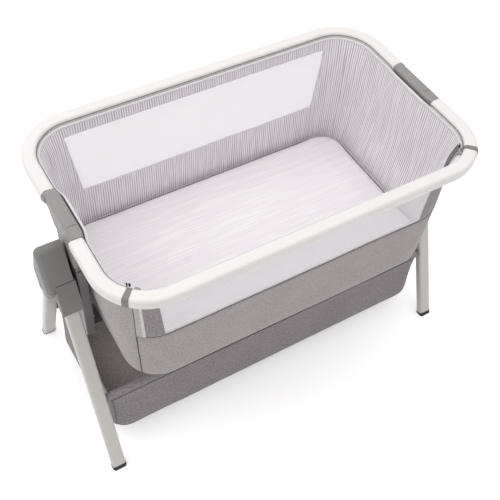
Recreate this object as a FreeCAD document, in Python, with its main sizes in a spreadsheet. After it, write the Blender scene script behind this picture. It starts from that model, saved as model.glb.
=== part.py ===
import FreeCAD, Part
import math
import os
import re
import Sketcher

# Bedside sleeper crib on two A-shaped legs.  Millimetres and degrees, +Z up, the long side
# along X, the lowering side towards -Y, the origin on the floor under the middle of the crib.
# Three moving groups: the stand, the crib that slides up and down in it, and the side that
# folds down.  "left" is -X and "right" is +X.

V = FreeCAD.Vector
SIDES = (("left", -1), ("right", 1))
ENDS = (("front", -1), ("rear", 1))

# ---------------------------------------------------------------- driving sizes
SIZES = {
    # top rail, measured along its inner line
    "rim_inner_length": 880,
    "rim_inner_width": 512,
    "rim_corner_radius": 96,
    "rim_width": 32,
    "rim_height": 28,
    "rim_edge_radius": 8,
    "rim_wall": 2,
    "rim_top": 705,
    # where the front rail parts from the rest, in the middle of each near bend
    "joint_angle": 42,
    "joint_gap_angle": 0.3,
    "collar_angle": 6,
    "collar_proud": 1.2,
    "plug_angle": 13,
    "fit_gap": 0.15,
    # latch in each end of the front rail
    "latch_travel": 6,
    "latch_bolt_radius": 4,
    "latch_bolt_length": 20,
    "latch_thumb_width": 12,
    "latch_thumb_height": 9,
    "latch_thumb_proud": 7,
    "latch_stem": 4,
    "thumb_gap": 3.4,
    "bolt_gap": 0.06,
    # bridge over each post, let into the short sides of the rail
    "bridge_half_length": 73,
    "bridge_inset": 6,
    "bridge_proud": 2,
    "bridge_bulge": 4,
    "bridge_bulge_half": 58,
    "bridge_corner_radius": 24,
    "bridge_edge_radius": 5,
    "bridge_wall": 3,
    "bridge_hollow_width": 14,
    "nose_hollow": 8,
    "nose_line": 32,
    "nose_depth": 18,
    "shroud_bottom": 578,
    "shroud_wall": 2.5,
    "gusset_half": 70,
    "gusset_bottom": 632,
    "gusset_outer_x": 463,
    # posts that slide in the hubs
    "post_outer_x": 458,
    "post_thick": 23,
    "post_width": 84,
    "post_wall": 3.5,
    "post_bottom": 320,
    "post_top": 672,
    "post_cap_thick": 3,
    "post_cap_depth": 14,
    "post_screw_y": 25,
    "post_screw_z": 640,
    "slot_bottom": 362,
    "slot_top": 576,
    "height_step": 25,
    "heights": 7,
    # guide block of each hub
    "neck_bottom": 470,
    "neck_top": 498,
    "neck_width": 22,
    "block_top": 545,
    "slide_gap": 0.3,
    "lock_pin_radius": 5,
    "lock_pin_length": 42,
    # A-shaped hubs
    "leg_center_x": 489,
    "hub_inner_x": 463.5,
    "hub_outer_x": 510,
    "cap_inner_x": 467,
    "cap_outer_x": 528,
    "cap_wall": 3,
    "cap_seam": 541,
    "cap_gap": 0.2,
    "cap_round": 15,
    "cap_edge_radius": 13,
    "tongue_bottom": 478,
    "tongue_half": 20,
    "tongue_straight": 22,
    "core_top": 606,
    "web_bottom": 463,
    "leg_screw_z": 522,
    "socket_bottom": 467,
    "socket_wall": 3,
    "crotch_top": 512,
    "button_width": 20,
    "button_height": 26,
    "button_radius": 8,
    "button_z": 499,
    "button_recess": 1,
    "button_stem": 4,
    # legs and feet
    "foot_spread": 231,
    "leg_slope": 0.375,
    "leg_wide": 34,
    "leg_deep": 22,
    "leg_edge_radius": 6,
    "leg_wall": 1.6,
    "leg_top": 536,
    "foot_plug": 18,
    "foot_proud": 0.8,
    "foot_pad": 3,
    # storage basket and the rails that carry it
    "basket_rail_radius": 8,
    "basket_rail_wall": 1.2,
    "basket_rail_z": 205,
    "basket_cloth": 2.5,
    "basket_half_length": 463,
    "basket_bottom_half_length": 474,
    "basket_bottom_half_width": 177,
    "basket_bottom": 57,
    "basket_corner_radius": 14,
    "basket_bottom_corner": 58,
    "basket_edge_radius": 14,
    "hem_gap": 0.3,
    "rail_cup_radius": 11,
    "rail_cup_length": 6,
    "floor_board_thick": 3,
    # hanging tub of cloth
    "tub_rim_gap": 0.3,
    "tub_top_drop": 8,
    "seam_z": 502,
    "seam_half_length": 434,
    "seam_half_width": 238,
    "seam_radius": 100,
    "seam_bulge": 3,
    "waist_z": 640,
    "waist_half_length": 438,
    "waist_half_width": 249.5,
    "waist_radius": 112,
    "waist_bulge": 7,
    "tub_low_half_length": 414,
    "tub_low_half_width": 236,
    "tub_low_radius": 86,
    "tub_bottom": 309,
    "tub_bottom_radius": 40,
    "tub_bulge_depth": 9,
    "tub_bulge_flat": 60,
    "tub_bulge_run": 20,
    "cloth": 2.5,
    "lining": 3,
    "mesh_thick": 1,
    "zip_angle": 41,
    "split_gap": 0.5,
    "front_window_left_bottom": 347,
    "front_window_left_top": 366,
    "front_window_right_bottom": 331,
    "front_window_right_top": 326,
    "front_window_bottom": 509,
    "front_window_top": 672,
    "rear_window_bottom": 490,
    "rear_window_top": 664,
    "rear_window_half_bottom": 330,
    "rear_window_half_top": 356,
    "window_radius": 10,
    # bed base and mattress
    "base_tube_radius": 9.5,
    "base_tube_wall": 1.5,
    "base_half_length": 380,
    "base_half_width": 205,
    "base_corner_radius": 60,
    "board_thick": 6,
    "board_half_length": 394,
    "board_half_width": 227,
    "board_corner_radius": 66,
    "bracket_half_width": 28,
    "bracket_height": 12,
    "bracket_plate": 4,
    "bracket_plate_top": 358,
    "bracket_screw_y": 17,
    "bracket_screw_z": 349,
    "mattress_half_length": 401,
    "mattress_half_width": 228.5,
    "mattress_corner_radius": 72,
    "mattress_thick": 56,
    "mattress_crown": 5,
    "mattress_tuck": 5,
    # zips at the two near corners
    "zip_proud": 1.2,
    "zip_width": 7,
    # screws
    "screw_radius": 2.2,
    "screw_head_radius": 4,
    "screw_head_depth": 3,
    "screw_gap": 0.1,
}

# ---------------------------------------------------------------- places worked out from them
PLACES = {
    "rim_line_x": "rim_inner_length / 2 + rim_width / 2",
    "rim_line_y": "rim_inner_width / 2 + rim_width / 2",
    "rim_bend": "rim_corner_radius + rim_width / 2",
    "rim_mid_z": "rim_top - rim_height / 2",
    "corner_x": "rim_inner_length / 2 - rim_corner_radius",
    "corner_y": "rim_inner_width / 2 - rim_corner_radius",
    "post_inner_x": "post_outer_x - post_thick",
    "post_mid_x": "post_outer_x - post_thick / 2",
    "leg_angle": "atan(leg_slope)",
    "leg_start": "foot_pad + leg_deep / 2 * leg_slope",
    "basket_rail_y": "foot_spread - leg_slope * basket_rail_z",
    "hem_radius": "basket_rail_radius + hem_gap + basket_cloth",
    "leg_inner_x": "leg_center_x - leg_wide / 2",
    "basket_half_width": "foot_spread - leg_slope * basket_rail_z + basket_rail_radius + hem_gap"
                         " + basket_cloth",
    "base_tube_z": "tub_bottom + cloth + base_tube_radius + 3",
    "board_bottom": "tub_bottom + cloth + 2 * base_tube_radius + 3",
    "board_top": "tub_bottom + cloth + 2 * base_tube_radius + 3 + board_thick",
    "neck_mid_z": "(neck_bottom + neck_top) / 2",
    "lock_tip_x": "post_outer_x - post_thick + post_wall + slide_gap",
    "slot_near": "2 * latch_stem",
    "slot_far": "3 * latch_stem + latch_travel + 2 * slide_gap",
}


def words_to_cells(text):
    """Put the sheet's name in front of every size and place named in a formula."""
    def cell(match):
        word = match.group()
        if word in SIZES:
            return "Sizes." + word
        if word in PLACES:
            return "Places." + word
        return word
    return re.sub(r"[a-z]\w*", cell, str(text))


doc = FreeCAD.newDocument("bedside_crib")
sheet = doc.addObject("Spreadsheet::Sheet", "Sizes")
for row, (word, size) in enumerate(SIZES.items(), 1):
    sheet.set(f"A{row}", word)
    sheet.set(f"B{row}", str(size))
    sheet.setAlias(f"B{row}", word)
places = doc.addObject("Spreadsheet::Sheet", "Places")
doc.recompute()
for row, (word, formula) in enumerate(PLACES.items(), 1):
    places.set(f"A{row}", word)
    cells = words_to_cells(formula).replace("Places.", "")
    places.set(f"B{row}", "=" + cells)
    places.setAlias(f"B{row}", word)
    doc.recompute()


def size_of(text):
    """The number that a formula of sizes and places gives."""
    found = sheet.evalExpression(words_to_cells(text))
    return float(getattr(found, "Value", found))


def bind(item, path, text):
    """Tie one property of an object to a formula."""
    item.setExpression(path, words_to_cells(text))


# ---------------------------------------------------------------- helpers for sketches
def new_body(label):
    """An empty body with its own label."""
    body = doc.addObject("PartDesign::Body", label)
    body.Label = label
    return body


def place(item, x="0", y="0", z="0", angle=None, axis=V(0, 0, 1)):
    """Put an object at a place that follows the sizes, turned about its own origin."""
    item.Placement = FreeCAD.Placement(V(0, 0, 0), FreeCAD.Rotation(axis, 1 if angle else 0))
    bind(item, "Placement.Base.x", x)
    bind(item, "Placement.Base.y", y)
    bind(item, "Placement.Base.z", z)
    if angle:
        bind(item, "Placement.Rotation.Angle", angle)
    return item


def new_sketch(body, plane, offset="0"):
    """A sketch on one of the body's own planes (XY, XZ or YZ), moved along its normal."""
    sketch = body.newObject("Sketcher::SketchObject", f"{body.Name}_{plane}_{len(body.Group)}")
    origin = [f for f in body.Origin.OriginFeatures if f.Role == f"{plane}_Plane"][0]
    sketch.AttachmentSupport = [(origin, "")]
    sketch.MapMode = "FlatFace"
    bind(sketch, ".AttachmentOffset.Base.z", offset)
    return sketch


def datum(sketch, kind, links, text):
    """A dimension of a sketch that follows a formula."""
    value = size_of(text)
    index = sketch.addConstraint(Sketcher.Constraint(kind, *links, value))
    sketch.setExpression(f"Constraints[{index}]", words_to_cells(text))


def rounded_box(sketch, width, height, radius, x="0", y="0"):
    """A rounded rectangle centred on (x, y)."""
    w, h, r = size_of(width) / 2, size_of(height) / 2, size_of(radius)
    cx, cy = size_of(x), size_of(y)
    first = sketch.GeometryCount
    corners = ((1, -1), (1, 1), (-1, 1), (-1, -1))
    runs = (
        ((-w + r, -h), (w - r, -h)),
        ((w, -h + r), (w, h - r)),
        ((w - r, h), (-w + r, h)),
        ((-w, h - r), (-w, -h + r)),
    )
    for (ax, ay), (bx, by) in runs:
        sketch.addGeometry(Part.LineSegment(V(cx + ax, cy + ay, 0), V(cx + bx, cy + by, 0)))
    for turn, (sx, sy) in enumerate(corners):
        middle = V(cx + sx * (w - r), cy + sy * (h - r), 0)
        circle = Part.Circle(middle, V(0, 0, 1), r)
        start = math.radians(90 * (turn - 1))
        sketch.addGeometry(Part.ArcOfCircle(circle, start, start + math.pi / 2))
    for turn in range(4):
        line, arc = first + turn, first + 4 + turn
        following = first + (turn + 1) % 4
        sketch.addConstraint(Sketcher.Constraint("Tangent", line, 2, arc, 1))
        sketch.addConstraint(Sketcher.Constraint("Tangent", arc, 2, following, 1))
        flat = "Horizontal" if turn % 2 == 0 else "Vertical"
        sketch.addConstraint(Sketcher.Constraint(flat, line))
        if turn:
            sketch.addConstraint(Sketcher.Constraint("Equal", first + 4, arc))
    datum(sketch, "Radius", (first + 4,), radius)
    datum(sketch, "DistanceX", (first + 3, 1, first + 1, 1), width)
    datum(sketch, "DistanceY", (first, 1, first + 2, 1), height)
    datum(sketch, "DistanceX", (-1, 1, first + 3, 1), f"{x} - ({width}) / 2")
    datum(sketch, "DistanceY", (-1, 1, first, 1), f"{y} - ({height}) / 2")


def polygon(sketch, points):
    """A closed outline of straight lines through points given as pairs of formulas."""
    first = sketch.GeometryCount
    spots = [V(size_of(x), size_of(y), 0) for x, y in points]
    count = len(spots)
    for turn in range(count):
        sketch.addGeometry(Part.LineSegment(spots[turn], spots[(turn + 1) % count]))
    for turn, (x, y) in enumerate(points):
        before = first + (turn - 1) % count
        sketch.addConstraint(Sketcher.Constraint("Coincident", before, 2, first + turn, 1))
        datum(sketch, "DistanceX", (-1, 1, first + turn, 1), x)
        datum(sketch, "DistanceY", (-1, 1, first + turn, 1), y)


def circle(sketch, radius, x="0", y="0"):
    """A circle centred on (x, y)."""
    index = sketch.addGeometry(
        Part.Circle(V(size_of(x), size_of(y), 0), V(0, 0, 1), size_of(radius)))
    datum(sketch, "Radius", (index,), radius)
    datum(sketch, "DistanceX", (-1, 1, index, 3), x)
    datum(sketch, "DistanceY", (-1, 1, index, 3), y)


def axis_line(sketch, x):
    """An upright construction line at x, for turning about."""
    spot = size_of(x)
    index = sketch.addGeometry(Part.LineSegment(V(spot, 0, 0), V(spot, 100, 0)), True)
    sketch.addConstraint(Sketcher.Constraint("Vertical", index))
    datum(sketch, "DistanceX", (-1, 1, index, 1), x)
    datum(sketch, "DistanceY", (-1, 1, index, 1), "0")
    datum(sketch, "DistanceY", (index, 1, index, 2), "100")


# ---------------------------------------------------------------- helpers for features
def pad(body, sketch, length, back=False, both=False):
    """Raise a sketch, along its normal, against it, or half each way."""
    feature = body.newObject("PartDesign::Pad", body.Name + "_pad")
    feature.Profile = sketch
    feature.SideType = "Symmetric" if both else "One side"
    feature.Reversed = back
    bind(feature, "Length", length)
    return feature


def pocket(body, sketch, length, back=False, both=False):
    """Cut a sketch into the body, against its normal unless back is set."""
    feature = body.newObject("PartDesign::Pocket", body.Name + "_pocket")
    feature.Profile = sketch
    feature.SideType = "Symmetric" if both else "One side"
    feature.Reversed = back
    bind(feature, "Length", length)
    return feature


def turn(body, sketch, angle, back=False, both=False):
    """Turn a sketch about its first construction line."""
    feature = body.newObject("PartDesign::Revolution", body.Name + "_turn")
    feature.Profile = sketch
    feature.ReferenceAxis = (sketch, ["Axis0"])
    feature.Reversed = back
    feature.Midplane = both
    bind(feature, "Angle", angle)
    return feature


def mirror(body, features):
    """Repeat features on the other side of the body's own YZ plane."""
    feature = body.newObject("PartDesign::Mirrored", body.Name + "_mirror")
    plane = [f for f in body.Origin.OriginFeatures if f.Role == "YZ_Plane"][0]
    feature.Originals = features
    feature.MirrorPlane = (plane, [""])
    body.Tip = feature
    return feature


def round_edges(body, base, radius, wanted):
    """Round those edges of a feature that the test picks."""
    doc.recompute()
    names = [f"Edge{i}" for i, edge in enumerate(base.Shape.Edges, 1) if wanted(edge)]
    feature = body.newObject("PartDesign::Fillet", body.Name + "_round")
    feature.Base = (base, names)
    bind(feature, "Radius", radius)
    return feature


def runs_along(edge, axis):
    """Whether an edge is a straight line along an axis."""
    if edge.Curve.TypeId != "Part::GeomLine":
        return False
    return abs(abs(edge.Curve.Direction.dot(axis)) - 1) < 1e-6


def block(label, length, width, height, x, y, z):
    """A plain block with its lowest corner at (x, y, z)."""
    item = doc.addObject("Part::Box", label)
    bind(item, "Length", length)
    bind(item, "Width", width)
    bind(item, "Height", height)
    return place(item, x, y, z)


def rod(label, radius, length, x, y, z, axis=V(0, 0, 1), angle=None):
    """A round rod from (x, y, z); along X when the axis is Y and the angle 90."""
    item = doc.addObject("Part::Cylinder", label)
    bind(item, "Radius", radius)
    bind(item, "Height", length)
    return place(item, x, y, z, angle, axis)


def together(label, items):
    """Several solids made one tool."""
    item = doc.addObject("Part::MultiFuse", label)
    item.Shapes = items
    return item


def less(label, base, tools):
    """A solid with others cut away."""
    item = doc.addObject("Part::Cut", label)
    item.Base = base
    item.Tool = tools[0] if len(tools) == 1 else together(label + "_tools", tools)
    return item


def within(label, base, tool):
    """The part of a solid that lies in another."""
    item = doc.addObject("Part::Common", label)
    item.Base = base
    item.Tool = tool
    return item


NODES = []


def finished(item, label):
    """Name a finished sub-part and keep it for writing."""
    item.Label = label
    NODES.append(item)
    return item


# ---------------------------------------------------------------- top rail
def rail_section(sketch, x, y, grow="0", hollow="rim_wall"):
    """The rail's rounded section with its bore, centred on (x, y)."""
    rounded_box(sketch, f"rim_width + 2 * ({grow})", f"rim_height + 2 * ({grow})",
                f"rim_edge_radius + {grow}", x, y)
    rounded_box(sketch, f"rim_width - 2 * ({hollow})", f"rim_height - 2 * ({hollow})",
                f"rim_edge_radius - ({hollow})", x, y)


def rim_rear():
    """The long rear rail with its two bends and the runs to the bridges."""
    body = new_body("rim_rear_tube")
    straight = new_sketch(body, "YZ", "-corner_x")
    rail_section(straight, "rim_line_y", "rim_mid_z")
    axis_line(straight, "corner_y")
    pad(body, straight, "2 * corner_x")
    bend = turn(body, straight, "90")
    run = new_sketch(body, "XZ", "-corner_y")
    rail_section(run, "-rim_line_x", "rim_mid_z")
    side = pad(body, run, "corner_y - bridge_half_length")
    mirror(body, [bend, side])
    finished(body, "rim_rear")


def rim_corner(name, side):
    """The short rail from a bridge round to the joint in the near bend."""
    body = new_body(f"rim_corner_{name}_tube")
    run = new_sketch(body, "XZ", "corner_y")
    rail_section(run, f"{side} * rim_line_x", "rim_mid_z")
    axis_line(run, f"{side} * corner_x")
    pad(body, run, "corner_y - bridge_half_length", back=True)
    turn(body, run, "joint_angle - joint_gap_angle", back=side > 0)
    finished(body, f"rim_corner_{name}")


def on_bend(item, side, angle):
    """Place a piece drawn about a near bend's centre, turned to where it sits on the bend."""
    return place(item, f"{side} * corner_x", "-corner_y", "0", f"-{side} * ({angle})")


def latch_slot(label, side):
    """The slot that lets the latch's stem slide along the rail, just past the joint."""
    body = new_body(f"{label}_slot")
    drawn = new_sketch(body, "XY", "rim_mid_z - latch_stem / 2 - slide_gap")
    polygon(drawn, (
        (f"{side} * rim_bend / 2", "-slot_near"),
        (f"{side} * rim_bend", "-slot_near"),
        (f"{side} * rim_bend", "-slot_far"),
        (f"{side} * rim_bend / 2", "-slot_far"),
    ))
    pad(body, drawn, "latch_stem + 2 * slide_gap")
    return on_bend(body, side, "joint_angle")


def rim_front():
    """The front rail of the lowering side, up to both joints."""
    body = new_body("rim_front_tube")
    straight = new_sketch(body, "YZ", "-corner_x")
    rail_section(straight, "-rim_line_y", "rim_mid_z")
    axis_line(straight, "-corner_y")
    pad(body, straight, "2 * corner_x")
    bend = turn(body, straight, "90 - joint_angle", back=True)
    mirror(body, [bend])
    slots = [latch_slot(f"rim_front_{name}", side) for name, side in SIDES]
    finished(less("rim_front_slotted", body, slots), "rim_front")


# ---------------------------------------------------------------- joint of the front rail
def collar(name, side):
    """The band round the front rail's end."""
    body = new_body(f"rail_collar_{name}_band")
    ring = new_sketch(body, "XZ")
    rail_section(ring, f"{side} * rim_bend", "rim_mid_z", "collar_proud", "0")
    axis_line(ring, "0")
    turn(body, ring, "collar_angle", back=side > 0)
    on_bend(body, side, "joint_angle")
    slot = latch_slot(f"rail_collar_{name}", side)
    finished(less(f"rail_collar_{name}_slotted", body, [slot]), f"rail_collar_{name}")


def plug_section(sketch, side):
    """The bore of the rail, less a fit, with the line that its bend turns about."""
    rounded_box(sketch, "rim_width - 2 * rim_wall - 2 * fit_gap",
                "rim_height - 2 * rim_wall - 2 * fit_gap",
                "rim_edge_radius - rim_wall - fit_gap", f"{side} * rim_bend", "rim_mid_z")
    axis_line(sketch, "0")


def rail_plug(name, side):
    """The plug in the front rail's end that guides the latch bolt."""
    body = new_body(f"rail_plug_{name}_blank")
    end = new_sketch(body, "XZ")
    plug_section(end, side)
    turn(body, end, "plug_angle", back=side > 0)
    bore = new_sketch(body, "XZ", "-1")
    circle(bore, "latch_bolt_radius + bolt_gap", f"{side} * rim_bend", "rim_mid_z")
    pocket(body, bore, "rim_bend * sin(plug_angle) + 4", back=True)
    on_bend(body, side, "joint_angle")
    slot = latch_slot(f"rail_plug_{name}", side)
    finished(less(f"rail_plug_{name}_slotted", body, [slot]), f"rail_plug_{name}")


def corner_plug(name, side):
    """The plug in the fixed rail's end, with the socket that the latch bolt enters."""
    body = new_body(f"corner_plug_{name}_blank")
    end = new_sketch(body, "XZ")
    plug_section(end, side)
    turn(body, end, "plug_angle", back=side < 0)
    bore = new_sketch(body, "XZ", "1")
    circle(bore, "latch_bolt_radius + bolt_gap", f"{side} * rim_bend", "rim_mid_z")
    pocket(body, bore, "latch_travel + 4")
    on_bend(body, side, "joint_angle - joint_gap_angle")
    finished(body, f"corner_plug_{name}")


def rail_latch(name, side):
    """The sliding bolt with the thumb piece that stands inside the bend."""
    body = new_body(f"rail_latch_{name}_bolt")
    round_end = new_sketch(body, "XZ", "1")
    circle(round_end, "latch_bolt_radius", f"{side} * rim_bend", "rim_mid_z")
    pad(body, round_end, "latch_bolt_length")
    stem = new_sketch(body, "XY", "rim_mid_z - latch_stem / 2")
    rest_near = "slot_far - slide_gap - latch_stem"
    rest_far = "slot_far - slide_gap"
    thumb_face = "rim_corner_radius - thumb_gap"
    polygon(stem, (
        (f"{side} * ({thumb_face} - 1)", f"-({rest_near})"),
        (f"{side} * (rim_bend - 2)", f"-({rest_near})"),
        (f"{side} * (rim_bend - 2)", f"-({rest_far})"),
        (f"{side} * ({thumb_face} - 1)", f"-({rest_far})"),
    ))
    pad(body, stem, "latch_stem")
    thumb = new_sketch(body, "XY", "rim_mid_z - latch_thumb_height / 2")
    rounded_box(thumb, "latch_thumb_proud", "latch_thumb_width", "2",
                f"{side} * ({thumb_face} - latch_thumb_proud / 2)",
                f"-({rest_near} + latch_stem / 2)")
    pad(body, thumb, "latch_thumb_height")
    on_bend(body, side, "joint_angle")
    finished(body, f"rail_latch_{name}")


# ---------------------------------------------------------------- bridges and posts
def bridge(name, side):
    """The bridge that joins the rails over a post, its front nose and its shroud."""
    label = f"bridge_{name}"
    blank = new_body(f"{label}_blank")
    plan = new_sketch(blank, "XY", "rim_top - rim_height")
    outer = f"{side} * (rim_inner_length / 2 + rim_width - bridge_inset)"
    inner = f"{side} * rim_inner_length / 2"
    bulged = f"{side} * (rim_inner_length / 2 - bridge_bulge)"
    polygon(plan, (
        (outer, "-bridge_half_length"), (outer, "bridge_half_length"),
        (inner, "bridge_half_length"), (bulged, "bridge_bulge_half"),
        (bulged, "-bridge_bulge_half"), (inner, "-bridge_half_length"),
    ))
    raised = pad(blank, plan, "rim_height + bridge_proud")
    upright = round_edges(blank, raised, "bridge_corner_radius", lambda edge: (
        runs_along(edge, V(0, 0, 1))
        and abs(abs(edge.CenterOfMass.y) - size_of("bridge_bulge_half")) < 1))
    crown = size_of("rim_top + bridge_proud")
    round_edges(blank, upright, "bridge_edge_radius", lambda edge: (
        abs(edge.BoundBox.ZMin - crown) < 1e-3 and edge.BoundBox.YLength > 5))
    under = new_sketch(blank, "XY", "rim_top - rim_height")
    rounded_box(under, "bridge_hollow_width", "2 * bridge_half_length - 8 * bridge_wall", "4",
                f"{side} * (rim_line_x - bridge_inset - 1)")
    pocket(blank, under, "nose_hollow", back=True)
    nose_box = block(f"{label}_nose_box", "rim_width * 3", "bridge_half_length",
                     "nose_depth * 2", f"{side} * rim_line_x - rim_width * 1.5",
                     "-nose_line - bridge_half_length", "rim_top + bridge_proud - nose_depth")
    shroud = new_body(f"{label}_shroud")
    sleeve = new_sketch(shroud, "XY", "shroud_bottom")
    rounded_box(sleeve, "post_thick + 2 * shroud_wall", "post_width + 2 * shroud_wall", "5",
                f"{side} * post_mid_x")
    pad(shroud, sleeve, "rim_top - rim_height + 6 - shroud_bottom")
    web = new_sketch(shroud, "YZ", f"{side} * (post_mid_x - shroud_wall)")
    sleeve_half = "(post_width / 2 + shroud_wall)"
    polygon(web, both_ways((
        ("gusset_half", "rim_top - rim_height + 6"),
        ("gusset_half", "rim_top - rim_height - 5"),
        (sleeve_half, "gusset_bottom"),
    )))
    pad(shroud, web, "gusset_outer_x - post_mid_x + shroud_wall", back=side < 0)
    joined = together(f"{label}_joined", [blank, shroud])
    fit = new_body(f"{label}_post_room")
    room = new_sketch(fit, "XY", "shroud_bottom - 1")
    rounded_box(room, "post_thick + 2 * fit_gap", "post_width + 2 * fit_gap", "3.1",
                f"{side} * post_mid_x")
    pad(fit, room, "post_top + 1 + fit_gap - shroud_bottom")
    tools = [fit, nose_box] + post_screw_tools(name, side, label)
    finished(less(f"{label}_cut", joined, tools), label)
    finished(within(f"bridge_nose_{name}_part", blank, nose_box), f"bridge_nose_{name}")


def post(name, side):
    """The channel that slides on the hub's guide block, with its slot and lock holes."""
    body = new_body(f"post_{name}_channel")
    section = new_sketch(body, "XY", "post_bottom")
    rounded_box(section, "post_thick", "post_width", "3", f"{side} * post_mid_x")
    rounded_box(section, "post_thick - 2 * post_wall", "post_width - 2 * post_wall", "1",
                f"{side} * post_mid_x")
    pad(body, section, "post_top - post_bottom")
    slot = new_sketch(body, "YZ", f"{side} * post_mid_x")
    rounded_box(slot, "neck_width + 2 * slide_gap", "slot_top - slot_bottom", "3",
                "0", "(slot_top + slot_bottom) / 2")
    pocket(body, slot, "post_thick", back=side > 0)
    hole = new_sketch(body, "YZ", f"{side} * post_mid_x")
    circle(hole, "lock_pin_radius + slide_gap", "0",
           "neck_mid_z - height_step * (heights - 1) / 2")
    first = pocket(body, hole, "post_thick", back=side < 0)
    row = body.newObject("PartDesign::LinearPattern", f"post_{name}_holes")
    row.Originals = [first]
    row.Direction = (hole, ["V_Axis"])
    row.Mode = "Extent"
    bind(row, "Length", "height_step * (heights - 1)")
    bind(row, "Occurrences", "heights")
    body.Tip = row
    finished(less(f"post_{name}_drilled", body, post_screw_tools(name, side, f"post_{name}")
                  + bracket_screw_tools(name, side, f"post_{name}")), f"post_{name}")


def post_cap(name, side):
    """The cap with a plug that closes the bottom of a post."""
    body = new_body(f"post_cap_{name}_part")
    plate = new_sketch(body, "XY", "post_bottom - post_cap_thick")
    rounded_box(plate, "post_thick", "post_width", "3", f"{side} * post_mid_x")
    pad(body, plate, "post_cap_thick")
    plug = new_sketch(body, "XY", "post_bottom")
    rounded_box(plug, "post_thick - 2 * post_wall - 2 * fit_gap",
                "post_width - 2 * post_wall - 2 * fit_gap", "1", f"{side} * post_mid_x")
    pad(body, plug, "post_cap_depth")
    finished(body, f"post_cap_{name}")


def cross_screw(label, x, y, z, side, length, gap="0"):
    """A screw along X with its head at x, pointing away from the middle when side says so."""
    grow = f"screw_radius + {gap}"
    head = f"screw_head_radius + {gap}"
    start = x if side > 0 else f"{x} - ({length})"
    cap_start = f"{x} - screw_head_depth - {gap}" if side > 0 else x
    shank = rod(f"{label}_shank", grow, length, start, y, z, V(0, 1, 0), "90")
    cap = rod(f"{label}_head", head, f"screw_head_depth + {gap}", cap_start, y, z,
              V(0, 1, 0), "90")
    return together(label, [shank, cap])


def post_screw_tools(name, side, label, gap="screw_gap"):
    """The two screws, or their holes, that hold a bridge's shroud to its post."""
    return [cross_screw(f"{label}_post_screw_{end}", f"{side} * post_inner_x",
                        f"{way} * post_screw_y", "post_screw_z", side,
                        "post_wall + 5", gap) for end, way in ENDS]


def bracket_screw_tools(name, side, label, gap="screw_gap"):
    """The two screws, or their holes, that hold the base bracket to its post."""
    return [cross_screw(f"{label}_bracket_screw_{end}",
                        f"{side} * (post_inner_x - bracket_plate)",
                        f"{way} * bracket_screw_y", "bracket_screw_z", side,
                        "bracket_plate + post_wall + 5", gap) for end, way in ENDS]


def shared_screws(label, tools):
    """Identical screws kept together in one sub-part as separate solids."""
    item = doc.addObject("Part::Compound", f"{label}_group")
    item.Links = tools
    finished(item, label)


# ---------------------------------------------------------------- A-shaped hubs
# At height z the outer face of a leg socket stands leg_face(z) from the middle plane.
def leg_face(z, inset="0"):
    """How far from the middle plane the outer face of a socket is at a height."""
    away = f"(leg_deep / 2 + socket_wall - ({inset})) / cos(leg_angle)"
    return f"(foot_spread - leg_slope * ({z}) + {away})"


def leg_back(z):
    """How far from the middle plane the inner face of a socket is at a height."""
    away = "(leg_deep / 2 + socket_wall) / cos(leg_angle)"
    return f"(foot_spread - leg_slope * ({z}) - {away})"


def both_ways(points):
    """An outline given on its rear half, repeated on its front half."""
    return tuple(points) + tuple((f"-({y})", z) for y, z in reversed(points))


def on_leg(body, side, way):
    """Place a piece drawn upright about a foot, leaned in towards its hub."""
    return place(body, f"{side} * leg_center_x", f"{way} * foot_spread", "0",
                 f"{way} * leg_angle", V(1, 0, 0))


def leg_bar(label, side, way, start, end, grow="0"):
    """A solid bar along a leg between two distances from the floor."""
    body = new_body(label)
    section = new_sketch(body, "XY", start)
    rounded_box(section, f"leg_wide + 2 * ({grow})", f"leg_deep + 2 * ({grow})",
                f"leg_edge_radius + {grow}")
    pad(body, section, f"({end}) - ({start})")
    return on_leg(body, side, way)


def leg_screw(label, side, way, gap="0"):
    """The screw that holds one leg in its socket, or the hole for it."""
    return cross_screw(label, f"{side} * hub_outer_x - {side} * screw_head_depth",
                       f"{way} * (foot_spread - leg_slope * leg_screw_z)", "leg_screw_z",
                       -side, "leg_wide + 2 * socket_wall", gap)


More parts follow.
